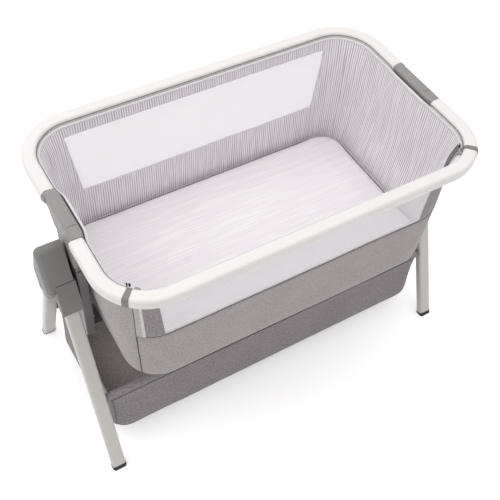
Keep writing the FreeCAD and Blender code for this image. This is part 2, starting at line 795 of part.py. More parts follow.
def hub(name, side):
    """The hub: two leg sockets under an apex, with a web that carries the guide block."""
    label = f"hub_{name}"
    core = new_body(f"{label}_core")
    outline = new_sketch(core, "YZ", f"{side} * hub_inner_x")
    wide = "(leg_deep + 2 * socket_wall)"
    polygon(outline, both_ways((
        (leg_back("crotch_top"), "crotch_top"),
        (f"{leg_face('socket_bottom')} - {wide} * cos(leg_angle)",
         f"socket_bottom - {wide} * sin(leg_angle)"),
        (leg_face("socket_bottom"), "socket_bottom"),
        (leg_face("cap_seam"), "cap_seam"),
        (leg_face("cap_seam", "cap_wall + cap_gap"), "cap_seam"),
        (leg_face("core_top", "cap_wall + cap_gap"), "core_top"),
    )))
    pad(core, outline, "hub_outer_x - hub_inner_x", back=side < 0)
    step = new_sketch(core, "YZ", f"{side} * hub_inner_x")
    polygon(step, both_ways((
        ("2 * leg_wide", "cap_seam"), ("2 * leg_wide", "core_top + 1"),
    )))
    pocket(core, step, "cap_inner_x - hub_inner_x", back=side > 0)
    web = new_sketch(core, "YZ", f"{side} * hub_inner_x")
    polygon(web, both_ways((
        (f"{leg_back('crotch_top')} + 2", "crotch_top + 1"),
        (f"{leg_back('web_bottom')} + 2", "web_bottom"),
    )))
    pad(core, web, "leg_inner_x - hub_inner_x - fit_gap", back=side < 0)
    bore = new_sketch(core, "YZ", f"{side} * (hub_inner_x - 1)")
    circle(bore, "lock_pin_radius + bolt_gap", "0", "neck_mid_z")
    pocket(core, bore, "leg_inner_x - hub_inner_x + 2", back=side > 0)
    channels = [leg_bar(f"{label}_channel_{end}", side, way, "0", "leg_top / cos(leg_angle)",
                        "fit_gap") for end, way in ENDS]
    holes = [leg_screw(f"{label}_screw_hole_{end}", side, way, "screw_gap")
             for end, way in ENDS]
    finished(less(f"{label}_cut", core, channels + holes), label)


def hub_cap(name, side):
    """The cap over the apex, with the tongue that hides the space between the sockets."""
    body = new_body(f"hub_cap_{name}_part")
    outline = new_sketch(body, "YZ", f"{side} * cap_inner_x")
    peak = "(foot_spread + (leg_deep / 2 + socket_wall) / cos(leg_angle)) / leg_slope"
    foot_z = "cap_seam + cap_gap"
    polygon(outline, (
        (leg_face(foot_z), foot_z), ("0", peak), (f"-{leg_face(foot_z)}", foot_z),
    ))
    hood = pad(body, outline, "cap_outer_x - cap_inner_x", back=side < 0)
    round_edges(body, hood, "cap_round", lambda edge: (
        runs_along(edge, V(1, 0, 0)) and abs(edge.CenterOfMass.y) < 1))
    tongue = new_sketch(body, "YZ", f"{side} * (hub_outer_x + cap_gap)")
    polygon(tongue, both_ways((
        (leg_face("cap_seam + 8"), "cap_seam + 8"),
        (leg_face(foot_z), foot_z),
        (leg_face(foot_z), "cap_seam - tongue_straight"),
        ("tongue_half", "tongue_bottom"),
    )))
    plate = pad(body, tongue, "cap_outer_x - hub_outer_x - cap_gap", back=side < 0)
    outer_face = side * size_of("cap_outer_x")
    round_edges(body, plate, "cap_edge_radius", lambda edge: (
        abs(edge.BoundBox.XMin - outer_face) < 1e-3 and abs(edge.BoundBox.XMax - outer_face) < 1e-3))
    inside = new_sketch(body, "YZ", f"{side} * (hub_outer_x + cap_gap)")
    polygon(inside, both_ways((
        (leg_face("cap_seam - 1", "cap_wall"), "cap_seam - 1"),
        (leg_face("core_top + 2", "cap_wall"), "core_top + 2"),
    )))
    pocket(body, inside, "hub_outer_x - hub_inner_x + 5", back=side < 0)
    hole = new_sketch(body, "YZ", f"{side} * (cap_outer_x + 1)")
    rounded_box(hole, "button_width + 2 * slide_gap", "button_height + 2 * slide_gap",
                "button_radius + slide_gap", "0", "button_z")
    pocket(body, hole, "cap_outer_x - hub_outer_x + 3", back=side < 0)
    finished(body, f"hub_cap_{name}")


def height_button(name, side):
    """The push button in the cap's tongue, drawn pressed in, with its stem."""
    body = new_body(f"height_button_{name}_part")
    pad_face = new_sketch(body, "YZ", f"{side} * (cap_outer_x - button_recess)")
    rounded_box(pad_face, "button_width", "button_height", "button_radius", "0", "button_z")
    pad(body, pad_face, "cap_outer_x - button_recess - hub_outer_x - 1", back=side > 0)
    stem = new_sketch(body, "YZ", f"{side} * (hub_outer_x + 1.5)")
    circle(stem, "button_stem", "0", "button_z")
    pad(body, stem, "hub_outer_x + 1.5 - leg_inner_x - slide_gap", back=side > 0)
    finished(body, f"height_button_{name}")


def guide_block(name, side):
    """The block that the post slides on, and the neck that holds it to the hub's web."""
    body = new_body(f"guide_block_{name}_part")
    neck = new_sketch(body, "YZ", f"{side} * hub_inner_x")
    rounded_box(neck, "neck_width", "neck_top - neck_bottom", "2", "0", "neck_mid_z")
    pad(body, neck, "hub_inner_x - post_mid_x", back=side > 0)
    slider = new_sketch(body, "YZ", f"{side} * (post_outer_x - post_wall - slide_gap)")
    rounded_box(slider, "post_width - 2 * post_wall - 2 * slide_gap",
                "block_top - neck_bottom", "2", "0", "(block_top + neck_bottom) / 2")
    pad(body, slider, "post_thick - 2 * post_wall - 2 * slide_gap", back=side > 0)
    bore = new_sketch(body, "YZ", f"{side} * (hub_inner_x + 1)")
    circle(bore, "lock_pin_radius + bolt_gap", "0", "neck_mid_z")
    pocket(body, bore, "hub_inner_x + 2 - post_inner_x", back=side < 0)
    finished(body, f"guide_block_{name}")


def lock_pin(name, side):
    """The pin that enters a hole of the post, drawn back flush with the guide block."""
    start = "lock_tip_x" if side > 0 else "-lock_tip_x - lock_pin_length"
    item = rod(f"lock_pin_{name}_rod", "lock_pin_radius", "lock_pin_length", start, "0",
               "neck_mid_z", V(0, 1, 0), "90")
    finished(item, f"lock_pin_{name}")


# ---------------------------------------------------------------- legs and feet
def leg(end, name, side, way):
    """One leg tube, from its foot into its socket."""
    label = f"leg_{end}_{name}"
    body = new_body(f"{label}_tube")
    section = new_sketch(body, "XY", "leg_start")
    rounded_box(section, "leg_wide", "leg_deep", "leg_edge_radius")
    rounded_box(section, "leg_wide - 2 * leg_wall", "leg_deep - 2 * leg_wall",
                "leg_edge_radius - leg_wall")
    pad(body, section, "leg_top / cos(leg_angle) - leg_start")
    on_leg(body, side, way)
    hole = leg_screw(f"{label}_screw_hole", side, way, "screw_gap")
    finished(less(f"{label}_drilled", body, [hole]), label)


def foot(end, name, side, way):
    """The rubber foot: a pad cut level with the floor and a plug inside the leg."""
    label = f"foot_{end}_{name}"
    body = new_body(f"{label}_blank")
    sole = new_sketch(body, "XY", "-leg_deep")
    rounded_box(sole, "leg_wide + 2 * foot_proud", "leg_deep + 2 * foot_proud",
                "leg_edge_radius + foot_proud")
    pad(body, sole, "leg_start + leg_deep")
    plug = new_sketch(body, "XY", "leg_start")
    rounded_box(plug, "leg_wide - 2 * leg_wall - 2 * fit_gap",
                "leg_deep - 2 * leg_wall - 2 * fit_gap", "leg_edge_radius - leg_wall - fit_gap")
    pad(body, plug, "foot_plug")
    on_leg(body, side, way)
    ground = block(f"{label}_ground", "leg_wide * 3", "leg_deep * 6", "leg_wide * 2",
                   f"{side} * leg_center_x - leg_wide * 1.5",
                   f"{way} * foot_spread - leg_deep * 3", "-leg_wide * 2")
    finished(less(f"{label}_cut", body, [ground]), label)


# ---------------------------------------------------------------- storage basket
def rounded_wire(z, half_length, half_width, radius):
    """A level rounded rectangle round the middle of the crib."""
    return bulged_wire(z, half_length, half_width, radius, 0)


def bulged_wire(z, half_length, half_width, radius, depth):
    """A level rounded rectangle whose short sides are pushed in by depth at the posts."""
    flat = min(size_of("tub_bulge_flat"), (half_width - radius) / 2)
    run = min(size_of("tub_bulge_run"), (half_width - radius) / 3)
    straight_x, straight_y = half_length - radius, half_width - radius
    side = (
        V(half_length, -straight_y, z), V(half_length, -flat - run, z),
        V(half_length - depth, -flat, z), V(half_length - depth, flat, z),
        V(half_length, flat + run, z), V(half_length, straight_y, z),
    )
    lean = radius * math.sqrt(0.5)

    def bend(start, way_x, way_y, end):
        middle = V(way_x * (straight_x + lean), way_y * (straight_y + lean), z)
        return Part.Arc(start, middle, end).toShape()

    def line(start, end):
        return Part.LineSegment(start, end).toShape()

    edges = [line(a, b) for a, b in zip(side, side[1:])]
    rear_right, rear_left = V(straight_x, half_width, z), V(-straight_x, half_width, z)
    edges.append(bend(side[-1], 1, 1, rear_right))
    edges.append(line(rear_right, rear_left))
    other = [V(-p.x, -p.y, p.z) for p in side]
    edges.append(bend(rear_left, -1, 1, other[0]))
    edges += [line(a, b) for a, b in zip(other, other[1:])]
    front_left, front_right = V(-straight_x, -half_width, z), V(straight_x, -half_width, z)
    edges.append(bend(other[-1], -1, -1, front_left))
    edges.append(line(front_left, front_right))
    edges.append(bend(front_right, 1, -1, side[0]))
    return Part.Wire(edges)


BEND_STEPS = 3


def bottom_levels(bottom, half_length, half_width, radius, edge):
    """Levels that round a bottom edge, from where its side begins down to its flat."""
    levels = []
    for step in range(BEND_STEPS + 1):
        angle = math.pi / 2 * (1 - step / BEND_STEPS)
        back, lift = edge * (1 - math.sin(angle)), edge * (1 - math.cos(angle))
        levels.append((bottom + lift, half_length - back, half_width - back, radius - back))
    return levels


def lofted(label, wires):
    """A closed solid with straight walls from each level to the next."""
    item = doc.addObject("Part::Feature", label)
    item.Shape = Part.makeLoft(wires, True, True)
    return item


def basket_form(label, inset, top):
    """The basket's closed form, a cloth's thickness or more inside its outer face."""
    edge = size_of("basket_edge_radius") - inset
    rows = [(top, size_of("basket_half_length") - inset, size_of("basket_half_width") - inset,
             size_of("basket_corner_radius") - inset)]
    rows += bottom_levels(size_of("basket_bottom") + inset,
                          size_of("basket_bottom_half_length") - inset,
                          size_of("basket_bottom_half_width") - inset,
                          size_of("basket_bottom_corner") - inset, edge)
    return lofted(label, [rounded_wire(*row) for row in rows])


def basket():
    """The open cloth basket with a hem round each rail."""
    rail_z = size_of("basket_rail_z")
    outer = basket_form("basket_outer", 0, rail_z)
    inner = basket_form("basket_inner", size_of("basket_cloth"), rail_z + 1)
    shell = less("basket_shell", outer, [inner])
    hem_length = "2 * (basket_half_length - basket_corner_radius)"
    hems = [rod(f"basket_hem_{end}", "hem_radius", hem_length,
                "-basket_half_length + basket_corner_radius", f"{way} * basket_rail_y",
                "basket_rail_z", V(0, 1, 0), "90") for end, way in ENDS]
    bores = [rod(f"basket_bore_{end}", "basket_rail_radius + hem_gap",
                 "2 * leg_center_x", "-leg_center_x", f"{way} * basket_rail_y",
                 "basket_rail_z", V(0, 1, 0), "90") for end, way in ENDS]
    hemmed = together("basket_hemmed", [shell] + hems)
    finished(less("basket_bored", hemmed, bores), "basket")


def basket_rail(end, way):
    """The round tube that carries one side of the basket from leg to leg."""
    label = f"basket_rail_{end}"
    body = new_body(f"{label}_tube")
    section = new_sketch(body, "YZ")
    circle(section, "basket_rail_radius", f"{way} * basket_rail_y", "basket_rail_z")
    circle(section, "basket_rail_radius - basket_rail_wall", f"{way} * basket_rail_y",
           "basket_rail_z")
    pad(body, section, "2 * leg_inner_x", both=True)
    finished(body, label)


def rail_cups():
    """The four cups on the legs that the basket rails stand in."""
    cups = []
    for name, side in SIDES:
        for end, way in ENDS:
            body = new_body(f"rail_cup_{end}_{name}")
            section = new_sketch(body, "YZ", f"{side} * leg_inner_x")
            circle(section, "rail_cup_radius", f"{way} * basket_rail_y", "basket_rail_z")
            circle(section, "basket_rail_radius + fit_gap", f"{way} * basket_rail_y",
                   "basket_rail_z")
            pad(body, section, "rail_cup_length", back=side > 0)
            cups.append(body)
    shared_screws("rail_cups", cups)


def basket_board():
    """The stiff board that lies in the bottom of the basket."""
    body = new_body("basket_board_part")
    plan = new_sketch(body, "XY", "basket_bottom + basket_cloth + 0.3")
    rounded_box(plan, "2 * (basket_bottom_half_length - basket_edge_radius)",
                "2 * (basket_bottom_half_width - basket_edge_radius)",
                "basket_bottom_corner - basket_edge_radius")
    pad(body, plan, "floor_board_thick")
    finished(body, "basket_board")


# ---------------------------------------------------------------- hanging tub
def tub_form(label, inset):
    """The tub's closed form, inset from its outer face; inner forms stand above its top."""
    gap = size_of("tub_rim_gap") + inset
    top = size_of("rim_top - tub_top_drop") + (1 if inset > 0 else 0)
    wires = [
        bulged_wire(top, size_of("rim_inner_length / 2") - gap,
                    size_of("rim_inner_width / 2") - gap,
                    size_of("rim_corner_radius") - gap, size_of("tub_bulge_depth")),
        bulged_wire(size_of("waist_z"), size_of("waist_half_length") - inset,
                    size_of("waist_half_width") - inset, size_of("waist_radius") - inset,
                    size_of("waist_bulge")),
        bulged_wire(size_of("seam_z"), size_of("seam_half_length") - inset,
                    size_of("seam_half_width") - inset, size_of("seam_radius") - inset,
                    size_of("seam_bulge")),
    ]
    levels = bottom_levels(size_of("tub_bottom") + inset,
                           size_of("tub_low_half_length") - inset,
                           size_of("tub_low_half_width") - inset,
                           size_of("tub_low_radius") - inset,
                           size_of("tub_bottom_radius") - inset)
    wires += [rounded_wire(*level) for level in levels]
    return lofted(label, wires)


def tub_layer(label, outer, inner):
    """One layer of the tub's wall, between two depths."""
    return less(label, tub_form(f"{label}_outer", outer), [tub_form(f"{label}_inner", inner)])


def window_tool(label, way, outline):
    """A rounded four-cornered tool that cuts a window through one long wall."""
    body = new_body(label)
    plan = new_sketch(body, "XZ", f"-{way} * seam_half_width / 2")
    polygon(plan, outline)
    raised = pad(body, plan, "seam_half_width", back=way > 0)
    round_edges(body, raised, "window_radius", lambda edge: runs_along(edge, V(0, 1, 0)))
    return body


def front_window(label):
    """The tool for the window in the lowering side."""
    return window_tool(label, -1, (
        ("-front_window_left_bottom", "front_window_bottom"),
        ("front_window_right_bottom", "front_window_bottom"),
        ("front_window_right_top", "front_window_top"),
        ("-front_window_left_top", "front_window_top"),
    ))


def rear_window(label):
    """The tool for the window in the rear wall."""
    return window_tool(label, 1, (
        ("-rear_window_half_bottom", "rear_window_bottom"),
        ("rear_window_half_bottom", "rear_window_bottom"),
        ("rear_window_half_top", "rear_window_top"),
        ("-rear_window_half_top", "rear_window_top"),
    ))


def side_space(label, gap="0"):
    """The space of the lowering side's cloth, above its seam and between the corner zips."""
    body = new_body(label)
    plan = new_sketch(body, "XY", f"seam_z + {gap}")
    near = f"(corner_x - rim_corner_radius * cos(zip_angle) - ({gap}) / sin(zip_angle))"
    far = f"(corner_x + 2 * rim_corner_radius * cos(zip_angle) - ({gap}) / sin(zip_angle))"
    near_y = "-corner_y + rim_corner_radius * sin(zip_angle)"
    far_y = "-corner_y - 2 * rim_corner_radius * sin(zip_angle)"
    polygon(plan, ((near, near_y), (far, far_y), (f"-{far}", far_y), (f"-{near}", near_y)))
    pad(body, plan, "rim_top - seam_z")
    return body


def arm_slots(label):
    """The two slots that the base brackets pass through in the ends of the tub."""
    return [block(f"{label}_{name}", "60", "2 * (bracket_half_width + slide_gap)",
                  "bracket_height + 2 * slide_gap", f"{side} * base_half_length - 30 + {side} * 28",
                  "-bracket_half_width - slide_gap",
                  "base_tube_z - bracket_height / 2 - slide_gap") for name, side in SIDES]


def tub_shell():
    """The outer cloth: both ends, the rear wall round its window, the front band, the floor."""
    layer = tub_layer("tub_cloth", 0, size_of("cloth"))
    tools = [side_space("tub_front_opening"), rear_window("tub_rear_opening")]
    tools += arm_slots("tub_arm_slot")
    finished(less("tub_cloth_cut", layer, tools), "tub_shell")


def liner():
    """The inner lining from the bed board up to the rail, open at the lowering side."""
    layer = tub_layer("lining", size_of("cloth"), size_of("cloth + lining"))
    below = block("lining_floor", "3 * rim_inner_length", "3 * rim_inner_width",
                  "board_top - tub_bottom + 20", "-1.5 * rim_inner_length",
                  "-1.5 * rim_inner_width", "tub_bottom - 20")
    tools = [side_space("lining_front_opening"), rear_window("lining_rear_opening"), below]
    finished(less("lining_cut", layer, tools), "liner")


def mesh_rear():
    """The net in the rear window."""
    layer = tub_layer("mesh_rear_layer", 1, 1 + size_of("mesh_thick"))
    finished(within("mesh_rear_part", layer, rear_window("mesh_rear_area")), "mesh_rear")


def mesh_front():
    """The net in the lowering side's window."""
    layer = tub_layer("mesh_front_layer", 1, 1 + size_of("mesh_thick"))
    finished(within("mesh_front_part", layer, front_window("mesh_front_area")), "mesh_front")


def latch_room(name, side):
    """The notch in the lowering side's cloth that leaves room for a latch's thumb piece."""
    body = new_body(f"latch_room_{name}")
    plan = new_sketch(body, "XY", "rim_mid_z - latch_thumb_height / 2 - 2")
    polygon(plan, (
        (f"{side} * rim_corner_radius / 2", "latch_travel"),
        (f"{side} * (rim_corner_radius + 2)", "latch_travel"),
        (f"{side} * (rim_corner_radius + 2)", "-slot_far - latch_thumb_width"),
        (f"{side} * rim_corner_radius / 2", "-slot_far - latch_thumb_width"),
    ))
    pad(body, plan, "rim_height")
    return on_bend(body, side, "joint_angle")


def front_panel():
    """The padded cloth of the lowering side round its window."""
    layer = tub_layer("front_panel_layer", 0, size_of("cloth + lining"))
    panel = within("front_panel_area", layer, side_space("front_panel_space", "split_gap"))
    tools = [front_window("front_panel_window")]
    tools += [latch_room(name, side) for name, side in SIDES]
    finished(less("front_panel_cut", panel, tools), "front_panel")


def zip_tape(name, side):
    """The zip along the edge of the fixed cloth at a near corner."""
    layer = tub_layer(f"zip_{name}_layer", -size_of("zip_proud"), 0)
    body = new_body(f"zip_{name}_area")
    plan = new_sketch(body, "XY", "seam_z")
    polygon(plan, (
        (f"{side} * rim_corner_radius / 2", "0"), (f"{side} * (rim_corner_radius * 1.5)", "0"),
        (f"{side} * (rim_corner_radius * 1.5)", "zip_width"),
        (f"{side} * rim_corner_radius / 2", "zip_width"),
    ))
    pad(body, plan, "rim_top - rim_height - 3 - seam_z")
    on_bend(body, side, "zip_angle")
    finished(within(f"zip_{name}_part", layer, body), f"zip_tape_{name}")


# ---------------------------------------------------------------- bed base and mattress
def base_frame():
    """The round-tube frame in the bottom of the tub."""
    body = new_body("base_frame_tube")
    features = []
    for end, way in ENDS:
        straight = new_sketch(body, "YZ", "-base_half_length + base_corner_radius")
        for size in ("base_tube_radius", "base_tube_radius - base_tube_wall"):
            circle(straight, size, f"{way} * base_half_width", "base_tube_z")
        axis_line(straight, f"{way} * (base_half_width - base_corner_radius)")
        pad(body, straight, "2 * (base_half_length - base_corner_radius)")
        features.append(turn(body, straight, "90", back=way < 0))
    run = new_sketch(body, "XZ", "-base_half_width + base_corner_radius")
    for size in ("base_tube_radius", "base_tube_radius - base_tube_wall"):
        circle(run, size, "-base_half_length", "base_tube_z")
    features.append(pad(body, run, "2 * (base_half_width - base_corner_radius)"))
    mirror(body, features)
    finished(body, "base_frame")


def base_bracket(name, side):
    """The bracket from a post's foot to the end of the base frame."""
    body = new_body(f"base_bracket_{name}_part")
    plate = new_sketch(body, "YZ", f"{side} * post_inner_x")
    polygon(plate, (
        ("-bracket_half_width", "base_tube_z - bracket_height / 2"),
        ("bracket_half_width", "base_tube_z - bracket_height / 2"),
        ("bracket_half_width", "bracket_plate_top"),
        ("-bracket_half_width", "bracket_plate_top"),
    ))
    pad(body, plate, "bracket_plate", back=side > 0)
    arm = new_sketch(body, "YZ", f"{side} * post_inner_x")
    polygon(arm, (
        ("-bracket_half_width", "base_tube_z - bracket_height / 2"),
        ("bracket_half_width", "base_tube_z - bracket_height / 2"),
        ("bracket_half_width", "base_tube_z + bracket_height / 2"),
        ("-bracket_half_width", "base_tube_z + bracket_height / 2"),
    ))
    pad(body, arm, "post_inner_x - base_half_length", back=side > 0)
    seat = rod(f"base_bracket_{name}_seat", "base_tube_radius", "4 * bracket_half_width",
               f"{side} * base_half_length", "2 * bracket_half_width", "base_tube_z",
               V(1, 0, 0), "90")
    tools = [seat] + bracket_screw_tools(name, side, f"base_bracket_{name}")
    finished(less(f"base_bracket_{name}_cut", body, tools), f"base_bracket_{name}")


def base_board():
    """The board that the mattress lies on."""
    body = new_body("base_board_part")
    plan = new_sketch(body, "XY", "board_bottom")
    rounded_box(plan, "2 * board_half_length", "2 * board_half_width", "board_corner_radius")
    pad(body, plan, "board_thick")
    finished(body, "base_board")


def mattress():
    """The mattress: flat below, its sides drawn in, its top gently crowned."""
    tuck, crown = size_of("mattress_tuck"), size_of("mattress_crown")
    low = size_of("board_top")
    thick = size_of("mattress_thick")
    length, width = size_of("mattress_half_length"), size_of("mattress_half_width")
    radius = size_of("mattress_corner_radius")
    rows = (
        (0, 1.5 * tuck), (0.14 * thick, 0.3 * tuck), (0.3 * thick, 0), (0.62 * thick, 0),
        (0.8 * thick, 0.6 * tuck), (thick - crown, 2.4 * tuck), (thick - 0.35 * crown, 8 * tuck),
        (thick, 20 * tuck),
    )
    wires = [rounded_wire(low + up, length - back, width - back, max(radius - back, tuck))
             for up, back in rows]
    finished(lofted("mattress_form", wires), "mattress")


# ---------------------------------------------------------------- building and writing
def build_all():
    """Make every sub-part."""
    rim_rear()
    rim_front()
    for name, side in SIDES:
        rim_corner(name, side)
        collar(name, side)
        rail_plug(name, side)
        corner_plug(name, side)
        rail_latch(name, side)
        bridge(name, side)
        post(name, side)
        post_cap(name, side)
        hub(name, side)
        hub_cap(name, side)
        height_button(name, side)
        guide_block(name, side)
        lock_pin(name, side)
        base_bracket(name, side)
        zip_tape(name, side)
        for end, way in ENDS:
            leg(end, name, side, way)
            foot(end, name, side, way)
    for end, way in ENDS:
        basket_rail(end, way)
    basket()
    rail_cups()
    basket_board()
    base_frame()
    base_board()
    mattress()
    tub_shell()
    liner()
    mesh_rear()
    mesh_front()
    front_panel()
    shared_screws("leg_screws", [leg_screw(f"leg_screw_{end}_{name}", side, way)
                                 for name, side in SIDES for end, way in ENDS])
    shared_screws("post_screws", [tool for name, side in SIDES
                                  for tool in post_screw_tools(name, side, "set", "0")])
    shared_screws("bracket_screws", [tool for name, side in SIDES
                                     for tool in bracket_screw_tools(name, side, "pair", "0")])


def check_and_write():
    """Stop on a failed object or a bad shape, then write one file for each sub-part."""
    doc.recompute()
    failed = [item.Name for item in doc.Objects
              if "Invalid" in item.State or "Error" in item.State]
    failed += [item.Label for item in NODES
               if item.Shape.isNull() or not item.Shape.isValid() or item.Shape.Volume <= 0]
    if failed:
        raise RuntimeError(f"not sound: {failed}")
    os.makedirs("parts", exist_ok=True)
    for item in NODES:
        shape = item.Shape
        shape.exportStep(f"parts/{item.Label}.step")
        box = shape.optimalBoundingBox()
        print(f"{item.Label:22s} solids {len(shape.Solids)} volume {shape.Volume / 1000:9.2f} cm3"
              f"  x {box.XMin:7.1f} {box.XMax:7.1f}  y {box.YMin:7.1f} {box.YMax:7.1f}"
              f"  z {box.ZMin:6.1f} {box.ZMax:6.1f}")


build_all()
check_and_write()
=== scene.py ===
import logging
import math
from dataclasses import dataclass, field
from enum import Enum
from typing import Callable, Optional

import bmesh
import bpy
import numpy as np
from mathutils import Matrix, Vector, noise


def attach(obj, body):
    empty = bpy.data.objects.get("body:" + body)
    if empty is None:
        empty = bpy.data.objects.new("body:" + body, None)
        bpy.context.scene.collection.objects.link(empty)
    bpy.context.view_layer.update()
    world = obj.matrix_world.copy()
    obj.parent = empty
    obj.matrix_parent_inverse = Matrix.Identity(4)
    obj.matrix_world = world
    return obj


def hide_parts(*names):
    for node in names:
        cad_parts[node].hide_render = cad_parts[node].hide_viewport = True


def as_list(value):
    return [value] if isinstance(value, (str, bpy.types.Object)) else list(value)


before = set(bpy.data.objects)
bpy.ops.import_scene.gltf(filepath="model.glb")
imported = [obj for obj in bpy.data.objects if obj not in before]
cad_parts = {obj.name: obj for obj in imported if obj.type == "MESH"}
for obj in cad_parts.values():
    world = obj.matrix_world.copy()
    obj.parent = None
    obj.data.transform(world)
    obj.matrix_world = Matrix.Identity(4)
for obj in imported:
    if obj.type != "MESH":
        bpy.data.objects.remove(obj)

LOG = logging.getLogger("bedside_crib")
MM = 0.001
SIDES = (("left", -1), ("right", 1))
ENDS = (("front", -1), ("rear", 1))
CORNERS = ((1, 1), (-1, 1), (-1, -1), (1, -1))
Colour = tuple[float, float, float]
TAUPE: tuple[Colour, Colour] = ((0.40, 0.36, 0.37), (0.20, 0.18, 0.185))
# The basket's taupe cloth painted lighter: painted light for the inside of its walls and for its
# tray.
LIT_TAUPE: tuple[Colour, Colour] = ((0.62, 0.565, 0.57), (0.36, 0.325, 0.33))


# ------------------------------------------------------------------ node trees
class Value:
    """A node socket that adds its own Math nodes when it stands in an expression."""

    def __init__(self, nodes: "Nodes", socket: bpy.types.NodeSocket) -> None:
        """Keep the socket and the tree that it belongs to."""
        self.nodes = nodes
        self.socket = socket

    def _math(self, operation: str, *terms: object) -> "Value":
        """Add one Math node.

        Args:
            operation: The Math node's operation.
            terms: Numbers or values, in the node's order.

        Returns:
            The node's result.
        """
        made = self.nodes.node("ShaderNodeMath", {"operation": operation},
                               dict(enumerate(terms)))
        return Value(self.nodes, made.outputs[0])

    def __add__(self, other: object) -> "Value":
        """The sum."""
        return self._math("ADD", self, other)

    __radd__ = __add__

    def __sub__(self, other: object) -> "Value":
        """The difference."""
        return self._math("SUBTRACT", self, other)

    def __rsub__(self, other: object) -> "Value":
        """The difference from a number."""
        return self._math("SUBTRACT", other, self)

    def __mul__(self, other: object) -> "Value":
        """The product."""
        return self._math("MULTIPLY", self, other)

    __rmul__ = __mul__

    def sine(self) -> "Value":
        """The sine of an angle in radians."""
        return self._math("SINE", self)

    def clipped(self, low: float, high: float) -> "Value":
        """0 up to low, 1 from high, and a smooth run between."""
        made = self.nodes.node("ShaderNodeMapRange", {"interpolation_type": "SMOOTHSTEP"},
                               {"Value": self, "From Min": low, "From Max": high})
        return Value(self.nodes, made.outputs["Result"])


class Nodes:
    """A node tree that takes each node with its settings and sockets in one call."""

    def __init__(self, tree: bpy.types.NodeTree) -> None:
        """Keep the tree, emptied."""
        self.tree = tree
        tree.nodes.clear()

    def node(self, kind: str, settings: Optional[dict] = None,
             sockets: Optional[dict] = None) -> bpy.types.Node:
        """Add any node.

        Args:
            kind: The node's type.
            settings: Properties that are set before its sockets.
            sockets: Numbers, colours or values by socket name, identifier or index.

        Returns:
            The new node.
        """
        made = self.tree.nodes.new(kind)
        for key, setting in (settings or {}).items():
            setattr(made, key, setting)
        for key, given in (sockets or {}).items():
            self.plug(made, key, given)
        return made

    def plug(self, made: bpy.types.Node, key: object, given: object) -> None:
        """Set one socket to a number or colour, or link a value or another socket to it."""
        if isinstance(key, int):
            socket = made.inputs[key]
        else:
            socket = next((s for s in made.inputs if s.identifier == key), None)
            socket = socket or made.inputs[key]
        given = given.socket if isinstance(given, Value) else given
        if isinstance(given, bpy.types.NodeSocket):
            self.tree.links.new(given, socket)
        elif isinstance(given, (tuple, list)) and len(given) == 3 and socket.type == "RGBA":
            socket.default_value = (*given, 1.0)
        else:
            socket.default_value = given

    def seen(self) -> Value:
        """1 for rays from the camera, in reflections and through nets, and 0 for the rest."""
        path = self.node("ShaderNodeLightPath")
        rays = [Value(self, path.outputs[f"Is {kind} Ray"])
                for kind in ("Camera", "Glossy", "Transmission")]
        return (rays[0] + rays[1] + rays[2]).clipped(0.0, 1.0)


class Shader(Nodes):
    """A material whose nodes are written as Python expressions."""

    def __init__(self, name: str) -> None:
        """Make an empty material with one Principled BSDF."""
        self.material = bpy.data.materials.new(name)
        self.material.use_nodes = True
        super().__init__(self.material.node_tree)
        self.bsdf = self.node("ShaderNodeBsdfPrincipled")
        self.node("ShaderNodeOutputMaterial", None, {"Surface": self.bsdf.outputs[0]})

    def where(self, kind: str = "Object") -> Value:
        """Coordinates in metres: the object's own, or the cloth's along and down its cut."""
        made = self.node("ShaderNodeTexCoord")
        return Value(self, made.outputs[kind])

    def stretched(self, place: Value, x: float, y: float, z: float) -> Value:
        """Coordinates multiplied along each axis."""
        made = self.node("ShaderNodeVectorMath", {"operation": "MULTIPLY"},
                         {0: place, 1: (x, y, z)})
        return Value(self, made.outputs[0])

    def parts(self, place: Value) -> tuple[Value, Value, Value]:
        """The three coordinates apart."""
        made = self.node("ShaderNodeSeparateXYZ", None, {0: place})
        return tuple(Value(self, made.outputs[i]) for i in range(3))

    def grain(self, place: Value, scale: float = 1.0, detail: float = 2.0,
              roughness: float = 0.5) -> Value:
        """Noise from 0 to 1 at a number of features in each unit of the coordinates."""
        made = self.node("ShaderNodeTexNoise", {"noise_dimensions": "3D"},
                         {"Vector": place, "Scale": scale, "Detail": detail,
                          "Roughness": roughness})
        return Value(self, made.outputs[0])

    def blend(self, share: object, first: object, second: object) -> Value:
        """A colour between two, at a share of the second."""
        made = self.node("ShaderNodeMix", {"data_type": "RGBA"},
                         {"Factor_Float": share, "A_Color": first, "B_Color": second})
        return Value(self, next(s for s in made.outputs if s.identifier == "Result_Color"))

    def relief(self, height: Value, depth: float, strength: float = 1.0) -> None:
        """Feed the surface's normal from a height from 0 to 1, with its depth in metres."""
        made = self.node("ShaderNodeBump", None,
                         {"Height": height, "Distance": depth, "Strength": strength})
        self.plug(self.bsdf, "Normal", Value(self, made.outputs[0]))

    def surface(self, **sockets: object) -> None:
        """Set the Principled BSDF's sockets, with words joined by underscores."""
        for key, given in sockets.items():
            self.plug(self.bsdf, key.replace("_", " ").title().replace("Ior", "IOR"), given)


# ------------------------------------------------------------------ finishes
class Grid(Enum):
    """Where a woven pattern takes its directions from."""

    CUT = "UV"
    BODY = "Object"


